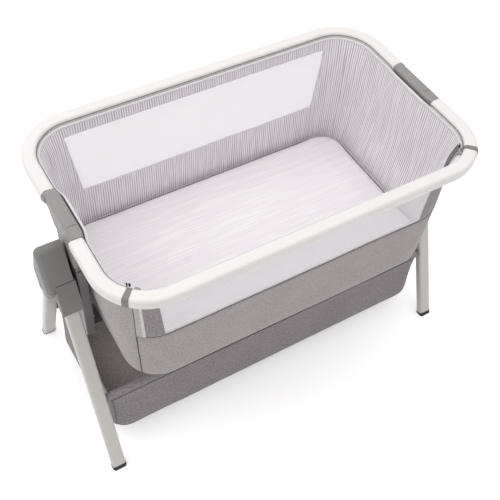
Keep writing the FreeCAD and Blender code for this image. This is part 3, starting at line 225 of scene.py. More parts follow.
@dataclass(frozen=True)
class Melange:
    """Plain-woven cloth of light and dark yarns."""

    name: str
    light: Colour
    dark: Colour
    grid: Grid = Grid.CUT
    yarn: float = 1.6 * MM
    slub: float = 14 * MM
    sheen: float = 0.15

    def made(self) -> bpy.types.Material:
        """The cloth's material: yarns crossing each other, slubs, soft patches, weave relief."""
        shader = Shader(self.name)
        place = shader.where(self.grid.value)
        fine, long = 1 / self.yarn, 1 / self.slub
        depth = fine if self.grid is Grid.BODY else 1.0
        along = shader.grain(shader.stretched(place, long, fine, depth), 1.0, 3.0, 0.6)
        across = shader.grain(shader.stretched(place, fine, long, depth), 1.0, 3.0, 0.6)
        specks = shader.grain(place, 0.46 / self.yarn, 2.0, 0.75)
        patches = shader.grain(place, 9.0, 3.0)
        mixed = (along + across) * 0.22 + specks * 0.56
        share = mixed.clipped(0.42, 0.59) * 0.85 + patches.clipped(0.3, 0.7) * 0.15
        shader.surface(base_color=shader.blend(share, self.dark, self.light), roughness=0.92,
                       sheen_weight=self.sheen, sheen_roughness=0.5, specular_ior_level=0.2)
        shader.relief(mixed, 0.5 * MM, 0.55)
        return shader.material


@dataclass(frozen=True)
class Stripe:
    """White cloth with fine hand-drawn lines."""

    name: str
    ground: Colour
    line: Colour
    grid: Grid
    pitch: float
    weight: float
    across: int = 0

    def made(self) -> bpy.types.Material:
        """The cloth's material: uneven lines that swell, thin out and break."""
        shader = Shader(self.name)
        place = shader.where(self.grid.value)
        scales = [5.0, 5.0, 5.0]
        scales[self.across] = 14.0
        sway = shader.grain(shader.stretched(place, *scales), 1.0, 2.0)
        position = shader.parts(place)[self.across]
        angle = position * (2 * math.pi / self.pitch) + sway * 5.0
        line = (angle.sine() * 0.5 + 0.5).clipped(0.3, 0.8)
        scales = [9.0, 9.0, 9.0]
        scales[self.across] = 0.8 / self.pitch
        uneven = shader.grain(shader.stretched(place, *scales), 1.0, 1.0).clipped(0.34, 0.6)
        scales[self.across] = 2.1 / self.pitch
        hair = shader.grain(shader.stretched(place, *scales), 1.0, 2.0).clipped(0.56, 0.7)
        drawn = line * (uneven * 0.42 + 0.58) * 0.92 + hair * 0.12
        tone = shader.grain(place, 5.0, 2.0).clipped(0.3, 0.7)
        weave = shader.grain(place, 900.0, 1.0)
        share = drawn * (tone * 0.15 + 0.85) * self.weight
        shader.surface(base_color=shader.blend(share, self.ground, self.line), roughness=0.9,
                       sheen_weight=0.1, sheen_roughness=0.5, specular_ior_level=0.2)
        shader.relief(weave * 0.6 + drawn * 0.4, 0.3 * MM, 0.4)
        return shader.material


@dataclass(frozen=True)
class Netting:
    """Fine knitted net with rows of small holes."""

    name: str
    thread: Colour
    hole: Colour
    pitch: float = 2.2 * MM
    cover: float = 0.52

    def made(self) -> bpy.types.Material:
        """The net's material: staggered holes that let light and a little of the back through."""
        shader = Shader(self.name)
        along, down, _ = shader.parts(shader.where("UV"))
        turn = 2 * math.pi / self.pitch
        first = ((along + down * 0.6) * turn).sine()
        second = ((along - down * 0.6) * turn).sine()
        holes = (first * second * 0.5 + 0.5).clipped(0.45, 0.8)
        soft = shader.grain(shader.where("UV"), 4.0, 2.0).clipped(0.3, 0.7)
        shader.surface(base_color=shader.blend(holes * 0.6 + soft * 0.15, self.thread, self.hole),
                       roughness=0.8, alpha=self.cover - holes * 0.25, sheen_weight=0.1,
                       specular_ior_level=0.3)
        shader.relief(1.0 - holes, 0.4 * MM, 0.5)
        return shader.material


@dataclass(frozen=True)
class Coat:
    """Powder paint on metal."""

    name: str
    colour: Colour
    shade: Colour
    roughness: float = 0.38

    def made(self) -> bpy.types.Material:
        """The paint's material: faint orange peel and slight unevenness of tone."""
        shader = Shader(self.name)
        place = shader.where()
        peel = shader.grain(place, 700.0, 2.0)
        broad = shader.grain(place, 7.0, 3.0)
        handled = shader.grain(place, 45.0, 4.0)
        shader.surface(base_color=shader.blend(broad.clipped(0.3, 0.75) * 0.6, self.colour,
                                               self.shade),
                       roughness=handled.clipped(0.3, 0.7) * 0.12 + (self.roughness - 0.06),
                       coat_weight=0.15, coat_roughness=0.25)
        shader.relief(peel, 0.06 * MM, 0.35)
        return shader.material


@dataclass(frozen=True)
class Moulded:
    """Matt moulded plastic or rubber with a fine spark-eroded grain."""

    name: str
    colour: Colour
    shade: Colour
    roughness: float = 0.5
    grain: float = 1100.0

    def made(self) -> bpy.types.Material:
        """The plastic's material: fine grain, and flow marks that hardly show."""
        shader = Shader(self.name)
        place = shader.where()
        grain = shader.grain(place, self.grain, 2.0, 0.6)
        flow = shader.grain(shader.stretched(place, 9.0, 9.0, 3.0), 1.0, 3.0)
        rubbed = shader.grain(place, 60.0, 4.0)
        share = flow.clipped(0.3, 0.7) * 0.7 + grain * 0.3
        shader.surface(base_color=shader.blend(share, self.colour, self.shade),
                       roughness=rubbed.clipped(0.3, 0.7) * 0.12 + (self.roughness - 0.06),
                       specular_ior_level=0.45)
        shader.relief(grain, 0.08 * MM, 0.5)
        return shader.material


@dataclass(frozen=True)
class Steel:
    """Plain zinc-plated steel."""

    name: str
    colour: Colour

    def made(self) -> bpy.types.Material:
        """The steel's material: turning marks and dull patches."""
        shader = Shader(self.name)
        place = shader.where()
        marks = shader.grain(shader.stretched(place, 300.0, 1800.0, 1800.0), 1.0, 2.0)
        dull = shader.grain(place, 90.0, 3.0)
        darker = tuple(c * 0.8 for c in self.colour)
        shader.surface(base_color=shader.blend(dull, self.colour, darker), metallic=1.0,
                       roughness=marks * 0.2 + 0.25)
        shader.relief(marks, 0.02 * MM, 0.4)
        return shader.material


@dataclass(frozen=True)
class Board:
    """Pressed board with fine fibres."""

    name: str
    colour: Colour
    fibre: Colour

    def made(self) -> bpy.types.Material:
        """The board's material: short fibres lying every way."""
        shader = Shader(self.name)
        place = shader.where()
        fibres = shader.grain(shader.stretched(place, 120.0, 700.0, 700.0), 1.0, 3.0, 0.6)
        shader.surface(base_color=shader.blend(fibres.clipped(0.35, 0.65), self.colour,
                                               self.fibre),
                       roughness=0.75)
        shader.relief(fibres, 0.1 * MM, 0.4)
        return shader.material


@dataclass(frozen=True)
class Palette:
    """Every finish of the crib."""

    rail: Coat = Coat("rail_paint", (0.83, 0.81, 0.79), (0.79, 0.77, 0.75), 0.42)
    leg: Coat = Coat("leg_paint", (0.62, 0.60, 0.56), (0.57, 0.55, 0.51), 0.42)
    post: Coat = Coat("post_paint", (0.175, 0.165, 0.165), (0.15, 0.142, 0.142), 0.45)
    plastic: Moulded = Moulded("grey_plastic", (0.235, 0.225, 0.222), (0.21, 0.2, 0.197))
    bridge: Moulded = Moulded("bridge_plastic", (0.31, 0.295, 0.29), (0.28, 0.265, 0.26))
    latch: Moulded = Moulded("latch_plastic", (0.33, 0.31, 0.31), (0.29, 0.27, 0.27), 0.4)
    black: Moulded = Moulded("black_plastic", (0.03, 0.03, 0.03), (0.02, 0.02, 0.02), 0.4)
    # Near-black plastic for the cords that stand for the shadow in the moulding seams' gaps:
    # painted shadow.
    seam_shadow: Moulded = Moulded("painted_seam_shadow", (0.07, 0.066, 0.066), (0.055, 0.052, 0.052), 0.7)
    rubber: Moulded = Moulded("foot_rubber", (0.02, 0.02, 0.02), (0.03, 0.03, 0.03), 0.7, 600.0)
    steel: Steel = Steel("plated_steel", (0.6, 0.6, 0.6))
    board: Board = Board("bed_board", (0.5, 0.46, 0.4), (0.4, 0.36, 0.3))
    tub: Melange = Melange("tub_cloth", (0.54, 0.495, 0.495), (0.33, 0.30, 0.30))
    panel: Melange = Melange("panel_cloth", (0.44, 0.40, 0.405), (0.22, 0.20, 0.205))
    basket: Melange = Melange("basket_cloth", *TAUPE)
    # The inside of the basket and its tray: the same taupe cloth painted lighter, as painted
    # light.
    basket_inside: Melange = Melange("basket_inside_painted_light", *LIT_TAUPE)
    lit_tray: Melange = Melange("tray_painted_light", *LIT_TAUPE, Grid.BODY)
    hem: Melange = Melange("hem_cloth", TAUPE[0], (0.22, 0.20, 0.205), Grid.BODY)
    placket: Melange = Melange("placket_cloth", (0.60, 0.57, 0.56), (0.46, 0.43, 0.43), Grid.BODY)
    edging: Melange = Melange("edging_cloth", (0.80, 0.77, 0.75), (0.68, 0.65, 0.64), Grid.BODY)
    lining: Stripe = Stripe("lining_stripe", (0.94, 0.91, 0.935), (0.34, 0.29, 0.335), Grid.CUT,
                            6.0 * MM, 0.78)
    cover: Stripe = Stripe("mattress_stripe", (0.93, 0.91, 0.91), (0.52, 0.46, 0.51), Grid.BODY,
                           4.8 * MM, 0.62, 1)
    binding: Melange = Melange("white_binding", (0.83, 0.81, 0.82), (0.72, 0.70, 0.71), Grid.BODY)
    piping: Melange = Melange("dark_piping", (0.12, 0.11, 0.11), (0.06, 0.055, 0.055), Grid.BODY)
    seam: Melange = Melange("seam_thread", (0.22, 0.20, 0.20), (0.12, 0.11, 0.11), Grid.BODY)
    pale_thread: Melange = Melange("pale_thread", (0.6, 0.57, 0.57), (0.5, 0.47, 0.47), Grid.BODY)
    net: Netting = Netting("window_net", (0.93, 0.905, 0.92), (0.86, 0.83, 0.85))

    def dressed(self) -> dict[str, bpy.types.Material]:
        """Make each finish's material once, by the name of its field."""
        return {key: getattr(self, key).made() for key in self.__dataclass_fields__}


# ------------------------------------------------------------------ pieces
def placed(name: str, data: bpy.types.ID) -> bpy.types.Object:
    """Put a new object with its data in the scene, at the origin."""
    made = bpy.data.objects.new(name, data)
    bpy.context.scene.collection.objects.link(made)
    return made


def evaluated(piece: bpy.types.Object) -> bpy.types.Mesh:
    """The plain mesh that an object's modifiers give."""
    graph = bpy.context.evaluated_depsgraph_get()
    return bpy.data.meshes.new_from_object(piece.evaluated_get(graph))


def finished_piece(name: str, mesh: bpy.types.Mesh, body: str, slot: str,
                   node: Optional[str] = None) -> bpy.types.Object:
    """Put a mesh in the scene as a piece of the crib.

    Args:
        name: The piece's name.
        mesh: Its mesh, in the crib's frame.
        body: The body that it moves with.
        slot: Not used.
        node: The node whose place it takes, if any.

    Returns:
        The piece's object, at the origin.
    """
    piece = placed(name, mesh)
    mesh.shade_smooth()
    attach(piece, body)
    if node:
        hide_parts(node)
    LOG.info("%s: %d faces, on %s", name, len(mesh.polygons), body)
    return piece


class PathTree(Nodes):
    """Geometry Nodes that lay something along a path of mesh edges."""

    def __init__(self, name: str, inputs: dict[str, tuple[str, object]]) -> None:
        """Make the tree with its named inputs.

        Args:
            name: The tree's name.
            inputs: Each input's socket type and default, by its name.
        """
        super().__init__(bpy.data.node_groups.new(name, "GeometryNodeTree"))
        face = self.tree.interface
        face.new_socket("Geometry", in_out="INPUT", socket_type="NodeSocketGeometry")
        self.keys = {}
        for key, (kind, default) in inputs.items():
            socket = face.new_socket(key, in_out="INPUT", socket_type=kind)
            if default is not None:
                socket.default_value = default
            self.keys[key] = socket.identifier
        face.new_socket("Geometry", in_out="OUTPUT", socket_type="NodeSocketGeometry")
        self.given = self.tree.nodes.new("NodeGroupInput")
        self.out = self.tree.nodes.new("NodeGroupOutput")

    def node(self, kind: str, settings: Optional[dict] = None,
             **sockets: object) -> bpy.types.Node:
        """Add a node; a socket's name has its spaces as underscores."""
        return super().node(kind, settings,
                            {key.replace("_", " "): given for key, given in sockets.items()})

    def end(self, geometry: bpy.types.NodeSocket) -> None:
        """Finish the tree with real faces that carry the material."""
        real = self.node("GeometryNodeRealizeInstances", Geometry=geometry)
        smooth = self.node("GeometryNodeSetShadeSmooth", Geometry=real.outputs[0])
        painted = self.node("GeometryNodeSetMaterial", Geometry=smooth.outputs[0],
                            Material=self.given.outputs["Material"])
        self.tree.links.new(painted.outputs[0], self.out.inputs[0])

    def grown(self, name: str, paths: list[np.ndarray], closed: bool,
              **settings: object) -> bpy.types.Mesh:
        """Run the tree along paths and keep the plain mesh that it gives.

        Args:
            name: The new mesh's name.
            paths: Arrays of points, one for each path.
            closed: Whether each path joins its own start.
            settings: Values of the tree's named inputs.

        Returns:
            The mesh.
        """
        source = bpy.data.meshes.new(name + "_path")
        points, edges = [], []
        for path in paths:
            first, count = len(points), len(path)
            points += [tuple(p) for p in path]
            edges += [(first + i, first + i + 1) for i in range(count - 1)]
            if closed:
                edges.append((first + count - 1, first))
        source.from_pydata(points, edges, [])
        carrier = placed(name + "_path", source)
        modifier = carrier.modifiers.new("laid", "NODES")
        modifier.node_group = self.tree
        for key, value in settings.items():
            modifier[self.keys[key.capitalize()]] = value
        mesh = evaluated(carrier)
        mesh.name = name
        carrier.modifiers.remove(modifier)
        bpy.data.objects.remove(carrier)
        bpy.data.meshes.remove(source)
        return mesh


class Trims:
    """The trees for piping and for rows of stitches, and the finishes that they take."""

    stitch_length = 1.7 * MM
    stitch_radius = 0.45 * MM

    def __init__(self, looks: dict[str, bpy.types.Material]) -> None:
        """Keep the finishes and build both trees."""
        self.looks = looks
        self.cord = self._cord_tree()
        self.stitch = self._stitch_tree()

    @staticmethod
    def _cord_tree() -> PathTree:
        """A round cord sewn along a path."""
        tree = PathTree("sewn_cord", {"Radius": ("NodeSocketFloat", 1.0 * MM),
                                      "Material": ("NodeSocketMaterial", None)})
        line = tree.node("GeometryNodeMeshToCurve", Mesh=tree.given.outputs["Geometry"])
        ring = tree.node("GeometryNodeCurvePrimitiveCircle", Resolution=8,
                         Radius=tree.given.outputs["Radius"])
        tube = tree.node("GeometryNodeCurveToMesh", Curve=line.outputs[0],
                         Profile_Curve=ring.outputs[0], Fill_Caps=True)
        tree.end(tube.outputs[0])
        return tree

    @staticmethod
    def _stitch_tree() -> PathTree:
        """Equal stitches along a path, each lying along it."""
        tree = PathTree("stitch_row", {"Pitch": ("NodeSocketFloat", 6.0 * MM),
                                       "Length": ("NodeSocketFloat", 1.8 * MM),
                                       "Radius": ("NodeSocketFloat", 0.5 * MM),
                                       "Material": ("NodeSocketMaterial", None)})
        line = tree.node("GeometryNodeMeshToCurve", Mesh=tree.given.outputs["Geometry"])
        spaced = tree.node("GeometryNodeResampleCurve", {"mode": "LENGTH"},
                           Curve=line.outputs[0], Length=tree.given.outputs["Pitch"])
        tangent = tree.node("GeometryNodeInputTangent")
        facing = tree.node("FunctionNodeAlignRotationToVector", {"axis": "X"},
                           Vector=tangent.outputs[0])
        bead = tree.node("GeometryNodeMeshUVSphere", Segments=6, Rings=4, Radius=1.0)
        size = tree.node("ShaderNodeCombineXYZ", X=tree.given.outputs["Length"],
                         Y=tree.given.outputs["Radius"], Z=tree.given.outputs["Radius"])
        laid = tree.node("GeometryNodeInstanceOnPoints", Points=spaced.outputs[0],
                         Instance=bead.outputs[0], Rotation=facing.outputs[0],
                         Scale=size.outputs[0])
        tree.end(laid.outputs[0])
        return tree

    def piping(self, name: str, paths: list, closed: bool, radius: float, look: str, body: str,
               slot: str) -> None:
        """A cord sewn along paths, as one piece."""
        mesh = self.cord.grown(name, paths, closed, radius=radius, material=self.looks[look])
        finished_piece(name, mesh, body, slot)

    def stitches(self, name: str, paths: list, closed: bool, pitch: float, look: str, body: str,
                 slot: str) -> None:
        """Rows of stitches along paths, as one piece."""
        mesh = self.stitch.grown(name, paths, closed, pitch=pitch, length=self.stitch_length,
                                 radius=self.stitch_radius, material=self.looks[look])
        finished_piece(name, mesh, body, slot)


# ------------------------------------------------------------------ cloth forms
@dataclass(frozen=True)
class Level:
    """One level outline: a rounded rectangle whose short sides may be pushed in at the posts."""

    z: float
    half_length: float
    half_width: float
    radius: float
    bulge: float = 0.0

    def numbers(self) -> np.ndarray:
        """Its five sizes in order."""
        return np.array([self.z, self.half_length, self.half_width, self.radius, self.bulge])

    def inset(self, depth: float) -> "Level":
        """The same outline, a depth further in."""
        return Level(self.z, self.half_length - depth, self.half_width - depth,
                     self.radius - depth, self.bulge)


@dataclass(frozen=True)
class Stack:
    """Level outlines from the top down, joined smoothly, over a rounded bottom edge."""

    levels: tuple[Level, ...]
    bottom: float
    edge: float

    def at(self, z: float) -> Level:
        """The outline at a height above the bottom's rounding.

        Args:
            z: The height, in metres.

        Returns:
            The outline, on a smooth curve through the given levels.
        """
        known = [level.numbers() for level in self.levels]
        heights = [row[0] for row in known]
        z = min(max(z, heights[-1]), heights[0])
        index = next((i for i in range(len(known) - 2) if z >= heights[i + 1]), len(known) - 2)
        upper, lower = known[index], known[index + 1]
        run = heights[index] - heights[index + 1]
        share = (heights[index] - z) / run
        steep = (lower - upper) / run
        before = (upper - known[index - 1]) / (heights[index - 1] - heights[index]) \
            if index else steep
        after = (known[index + 2] - lower) / (heights[index + 1] - heights[index + 2]) \
            if index + 2 < len(known) else steep
        start, finish = (before + steep) / 2 * run, (after + steep) / 2 * run
        s2, s3 = share ** 2, share ** 3
        row = (upper * (2 * s3 - 3 * s2 + 1) + start * (s3 - 2 * s2 + share)
               + lower * (3 * s2 - 2 * s3) + finish * (s3 - s2))
        return Level(z, *row[1:])

    def rounded(self, angle: float, depth: float) -> Level:
        """An outline on the bottom's rounding, from 90 degrees at its top to 0 at the flat."""
        last = self.levels[-1]
        turn = math.radians(angle)
        edge = self.edge - depth
        back, lift = edge * (1 - math.sin(turn)), edge * (1 - math.cos(turn))
        return Level(self.bottom + depth + lift, last.half_length - depth - back,
                     last.half_width - depth - back, last.radius - depth - back)


@dataclass(frozen=True)
class Span:
    """A named run of columns round the cloth."""

    name: str
    count: int


class Loop:
    """Columns round a stack of outlines, counted anticlockwise from the near right corner."""

    spans: tuple[Span, ...] = ()

    def __init__(self, stack: Stack) -> None:
        """Work out where each span starts."""
        self.stack = stack
        self.first = {}
        total = 0
        for span in self.spans:
            self.first[span.name] = total
            total += span.count
        self.columns = total

    def range(self, *names: str) -> list[int]:
        """The columns of the named spans."""
        sizes = {span.name: span.count for span in self.spans}
        return [self.first[name] + i for name in names for i in range(sizes[name])]

    def ring(self, level: Level) -> np.ndarray:
        """The points of one outline, one for each column."""
        raise NotImplementedError

    def rows(self, heights: list[float], angles: list[float], depth: float,
             shrink: tuple[float, ...] = ()) -> np.ndarray:
        """Points of the whole cloth at a depth from its outer face.

        Args:
            heights: Heights of the rows above the rounding.
            angles: Angles of the rows on the rounding.
            depth: How far inside the outer face.
            shrink: Scales of the rows across the flat bottom.

        Returns:
            An array of rows, columns and coordinates.
        """
        found = [self.ring(self.stack.at(z).inset(depth)) for z in heights]
        found += [self.ring(self.stack.rounded(a, depth)) for a in angles]
        floor = found[-1]
        found += [floor * np.array([s, s, 1.0]) for s in shrink]
        return np.array(found)
    def loosened(self, heights: list[float], angles: tuple[float, ...], depth: float,
                 shrink: tuple[float, ...], loose: int,
                 slack: Callable[[np.ndarray], float]) -> np.ndarray:
        """The same points, with the upper rows moved out of their drawn form.

        Args:
            heights: Heights of the rows above the rounding.
            angles: Angles of the rows on the rounding.
            depth: How far inside the outer face.
            shrink: Scales of the rows across the flat bottom.
            loose: How many rows are moved.
            slack: How far out the cloth stands at a point of its outer face.

        Returns:
            An array of rows, columns and coordinates.
        """
        drawn, base, further = (self.rows(heights, angles, inward, shrink)
                                for inward in (depth, 0.0, -1 * MM))
        outward = further - base
        outward /= np.maximum(np.linalg.norm(outward, axis=2, keepdims=True), 1e-9)
        for row in range(loose):
            for column in range(self.columns):
                drawn[row, column] += outward[row, column] * slack(base[row, column])
        return drawn


def arc(centre: tuple[float, float], radius: float, start: float, stop: float,
        count: int) -> list[tuple[float, float]]:
    """Points along an arc without its last, with angles in radians from +X."""
    return [(centre[0] + radius * math.cos(start + (stop - start) * i / count),
             centre[1] + radius * math.sin(start + (stop - start) * i / count))
            for i in range(count)]


def steps(start: float, stop: float, count: int) -> list[float]:
    """Equal steps without the last."""
    return [start + (stop - start) * i / count for i in range(count)]


def smoothstep(value: float) -> float:
    """A smooth run from 0 to 1."""
    value = min(max(value, 0.0), 1.0)
    return value * value * (3 - 2 * value)


@dataclass(frozen=True)
class Window:
    """A four-cornered opening in a long wall."""

    bottom: float
    top: float
    left_bottom: float
    left_top: float
    right_bottom: float
    right_top: float

    def edge(self, z: float, right: bool) -> float:
        """The side edge's place along X at a height."""
        share = min(max((z - self.bottom) / (self.top - self.bottom), 0.0), 1.0)
        low, high = (self.right_bottom, self.right_top) if right \
            else (self.left_bottom, self.left_top)
        return low + (high - low) * share


@dataclass(frozen=True)
class TubSizes:
    """Sizes of the hanging tub, as in the model."""

    stack: Stack = Stack((
        Level(697 * MM, 439.7 * MM, 255.7 * MM, 95.7 * MM, 7.5 * MM),
        Level(640 * MM, 438 * MM, 249.5 * MM, 112 * MM, 6.5 * MM),
        Level(502 * MM, 434 * MM, 238 * MM, 100 * MM, 3 * MM),
        Level(349 * MM, 414 * MM, 236 * MM, 86 * MM, 0.0),
    ), 309 * MM, 40 * MM)
    top: float = 697 * MM
    flap_top: float = 690 * MM
    zip_top: float = 672 * MM
    flap_foot: float = 560 * MM
    seam: float = 502 * MM
    mattress_top: float = 392 * MM
    zip_angle: float = 41.0
    bend_x: float = 344 * MM
    bend_y: float = 160 * MM
    cloth: float = 2.5 * MM
    wall: float = 5.5 * MM
    bulge_flat: float = 44 * MM
    bulge_run: float = 44 * MM
    let_down: float = 6 * MM
    let_down_from: float = 672 * MM
    let_down_run: float = 25 * MM
    end_from: float = 400 * MM
    seam_gap: float = 1.2 * MM
    net: float = 0.7 * MM
    front: Window = Window(504 * MM, 672 * MM, -347 * MM, -366 * MM, 331 * MM, 326 * MM)
    rear: Window = Window(490 * MM, 664 * MM, -330 * MM, -356 * MM, 330 * MM, 356 * MM)


class TubLoop(Loop):
    """The tub's columns, with edges along both windows and along the zips."""

    spans = (Span("near_right", 8), Span("right_end", 30), Span("rear_right", 7),
             Span("rear_a", 8), Span("rear_window", 64), Span("rear_b", 8),
             Span("rear_left", 7), Span("left_end", 30), Span("near_left", 8),
             Span("front_a", 10), Span("front_window", 64), Span("front_b", 10))

    def __init__(self, sizes: TubSizes) -> None:
        """Keep the sizes, and the column where the lowering side begins."""
        super().__init__(sizes.stack)
        self.sizes = sizes
        self.split = self.first["front_a"]

    def zip_crossing(self, level: Level) -> tuple[float, float]:
        """Where the right zip's upright plane cuts an outline: the angle, and the place on X."""
        sizes = self.sizes
        turn = math.radians(sizes.zip_angle)
        cx, cy = level.half_length - level.radius, level.half_width - level.radius
        ax, ay = sizes.bend_x - cx, cy - sizes.bend_y
        half = ax * math.cos(turn) - ay * math.sin(turn)
        reach = -half + math.sqrt(half * half + level.radius ** 2 - ax * ax - ay * ay)
        px, py = ax + reach * math.cos(turn), ay - reach * math.sin(turn)
        return math.atan2(-py, px), cx + px

    def wall_y(self, level: Level, x: float) -> float:
        """How far a long wall stands from the middle at a place along X."""
        cx, cy = level.half_length - level.radius, level.half_width - level.radius
        over = max(abs(x) - cx, 0.0)
        return cy + math.sqrt(max(level.radius ** 2 - over ** 2, 0.0))

    def end_x(self, level: Level, y: float) -> float:
        """How far a short wall stands from the middle at a place along Y."""
        sizes = self.sizes
        share = (sizes.bulge_flat + sizes.bulge_run - abs(y)) / sizes.bulge_run
        return level.half_length - level.bulge * smoothstep(share)

    def ring(self, level: Level) -> np.ndarray:
        """The points of one outline, one for each column."""
        count = {span.name: span.count for span in self.spans}
        sizes = self.sizes
        cx, cy = level.half_length - level.radius, level.half_width - level.radius
        angle, zip_x = self.zip_crossing(level)
        corner_x = cx + level.radius * math.cos(math.pi / 4)
        rear_r, rear_l = sizes.rear.edge(level.z, True), sizes.rear.edge(level.z, False)
        front_l, front_r = sizes.front.edge(level.z, False), sizes.front.edge(level.z, True)
        flat = arc((cx, -cy), level.radius, -angle, 0.0, count["near_right"])
        flat += [(self.end_x(level, y), y) for y in steps(-cy, cy, count["right_end"])]
        flat += arc((cx, cy), level.radius, 0.0, math.pi / 4, count["rear_right"])
        for start, stop, name in ((corner_x, rear_r, "rear_a"), (rear_r, rear_l, "rear_window"),
                                  (rear_l, -corner_x, "rear_b")):
            flat += [(x, self.wall_y(level, x)) for x in steps(start, stop, count[name])]
        flat += arc((-cx, cy), level.radius, math.pi * 0.75, math.pi, count["rear_left"])
        flat += [(-self.end_x(level, y), y) for y in steps(cy, -cy, count["left_end"])]
        flat += arc((-cx, -cy), level.radius, math.pi, math.pi + angle, count["near_left"])
        for start, stop, name in ((-zip_x, front_l, "front_a"),
                                  (front_l, front_r, "front_window"),
                                  (front_r, zip_x, "front_b")):
            flat += [(x, -self.wall_y(level, x)) for x in steps(start, stop, count[name])]
        return np.array([(x, y, level.z) for x, y in flat])


class Sheet:
    """A grid of cloth with an outer face, an inner face and closed edges."""

    crisp = 50

    def __init__(self, outer: np.ndarray, inner: np.ndarray, keep: np.ndarray,
                 wraps: bool = True, pole: bool = False) -> None:
        """Keep the grids.

        Args:
            outer: Rows and columns of the outer face's points.
            inner: The same of the inner face's.
            keep: Which cells are cloth.
            wraps: Whether the last column joins the first.
            pole: Whether the last row closes to a point.
        """
        self.outer, self.inner, self.keep = outer, inner, keep
        self.wraps, self.pole = wraps, pole
        self.rows, self.columns = outer.shape[:2]
        self.uv = self._cut()

    def _cut(self) -> np.ndarray:
        """Each point's place on the cloth's cut: along its middle row, and down its column."""
        middle = self.outer[self.rows // 3]
        last = middle[:1] if self.wraps else middle[-1:]
        hops = np.linalg.norm(np.diff(np.vstack([middle, last]), axis=0), axis=1)
        along = np.concatenate([[0.0], np.cumsum(hops)])
        drops = np.linalg.norm(np.diff(self.outer, axis=0), axis=2)
        down = np.vstack([np.zeros(self.columns), np.cumsum(drops, axis=0)])
        wide = np.hstack([down, down[:, :1]])
        return np.dstack([np.broadcast_to(along, wide.shape), wide])

    def area(self) -> float:
        """The outer face's area in square metres."""
        total = 0.0
        for row, column in zip(*np.nonzero(self.keep)):
            a, b, c, d = self._corners(self.outer, row, column)
            total += (np.linalg.norm(np.cross(b - a, c - a))
                      + np.linalg.norm(np.cross(c - a, d - a))) / 2
        return float(total)

    def _corners(self, grid: np.ndarray, row: int, column: int) -> list[np.ndarray]:
        """The four corners of a cell, down first."""
        after = (column + 1) % self.columns
        return [grid[row, column], grid[row + 1, column], grid[row + 1, after], grid[row, after]]

    def mesh(self, name: str, materials: list[bpy.types.Material]) -> bpy.types.Mesh:
        """Make the closed mesh.

        Args:
            name: The mesh's name.
            materials: The outer face's material, and the inner face's if it differs.

        Returns:
            The mesh, with the cut's coordinates as its UV map.
        """
        size = self.rows * self.columns
        points = np.vstack([self.outer.reshape(-1, 3), self.inner.reshape(-1, 3)])
        faces, cuts, tones = [], [], []

        def number(row: int, column: int) -> int:
            """A grid point's place in the list of points."""
            return row * self.columns + column % self.columns

        def add(corners: list[tuple[int, int, int]], tone: int) -> None:
            """Note one face, with its cut and its material."""
            faces.append([number(r, c) + layer * size for r, c, layer in corners])
            cuts.extend(self.uv[r, c] for r, c, _ in corners)
            tones.append(tone)

        reach = self.columns if self.wraps else self.columns - 1
        for row, column in zip(*np.nonzero(self.keep)):
            r, c = int(row), int(column)
            cell = [(r, c), (r + 1, c), (r + 1, c + 1), (r, c + 1)]
            add([(*corner, 0) for corner in cell], 0)
            add([(*corner, 1) for corner in reversed(cell)], len(materials) - 1)
            beyond = ((r, c - 1), (r + 1, c), (r, c + 1), (r - 1, c))
            for side, (near, far) in enumerate(zip(cell, cell[1:] + cell[:1])):
                nr, nc = beyond[side]
                nc = nc % self.columns if self.wraps else nc
                inside = 0 <= nr < self.rows - 1 and 0 <= nc < reach
                if inside and self.keep[nr, nc] or (self.pole and nr == self.rows - 1):
                    continue
                add([(*far, 0), (*near, 0), (*near, 1), (*far, 1)], 0)
        if self.pole:
            points = np.vstack([points, self.outer[-1].mean(axis=0), self.inner[-1].mean(axis=0)])
            for layer in range(2):
                for c in range(self.columns):
                    ends = (c, c + 1) if layer else (c + 1, c)
                    edge = [number(self.rows - 1, i) + layer * size for i in ends]
                    faces.append([2 * size + layer, *edge])
                    cuts.extend([self.uv[-1, c], self.uv[-1, ends[0]], self.uv[-1, ends[1]]])
                    tones.append((len(materials) - 1) * layer)
        used = sorted({i for face in faces for i in face})
        renumbered = {old: new for new, old in enumerate(used)}
        mesh = bpy.data.meshes.new(name)
        mesh.from_pydata(points[used].tolist(), [], [[renumbered[i] for i in f] for f in faces])
        layer = mesh.uv_layers.new(name="UVMap")
        layer.data.foreach_set("uv", np.array(cuts, dtype=np.float32).ravel())
        for material in materials:
            mesh.materials.append(material)
        mesh.polygons.foreach_set("material_index", tones)
        mesh.shade_smooth()
        mesh.set_sharp_from_angle(angle=math.radians(self.crisp))
        return mesh


def open_sheet(outer: np.ndarray, inner: np.ndarray) -> Sheet:
    """A sheet of every cell between two grids, whose last column stays open."""
    keep = np.ones((outer.shape[0] - 1, outer.shape[1]), dtype=bool)
    keep[:, -1] = False
    return Sheet(outer, inner, keep, wraps=False)


def ripple(place: np.ndarray, size: float, seed: float) -> float:
    """Smooth noise from -1 to 1 at a size in metres, the same on every run."""
    return noise.noise(Vector(place) / size + Vector((seed, seed * 1.7, -seed)))


# ------------------------------------------------------------------ the tub
@dataclass(frozen=True)
class Slack:
    """How far the tub's cloth stands out of its drawn form, and where."""

    calm: float = 45 * MM
    at_seam: float = 9 * MM
    at_top: float = 22 * MM
    low: float = 60 * MM
    corner_x: float = 300 * MM
    corner_run: float = 60 * MM
    ridge_x: float = 372 * MM
    ridge_z: float = 490 * MM
    ridge_slope: float = 0.38
    ridge_width: float = 15 * MM
    crease: float = 3.5 * MM
    crease_foot: float = 345 * MM
    crease_run: float = 70 * MM


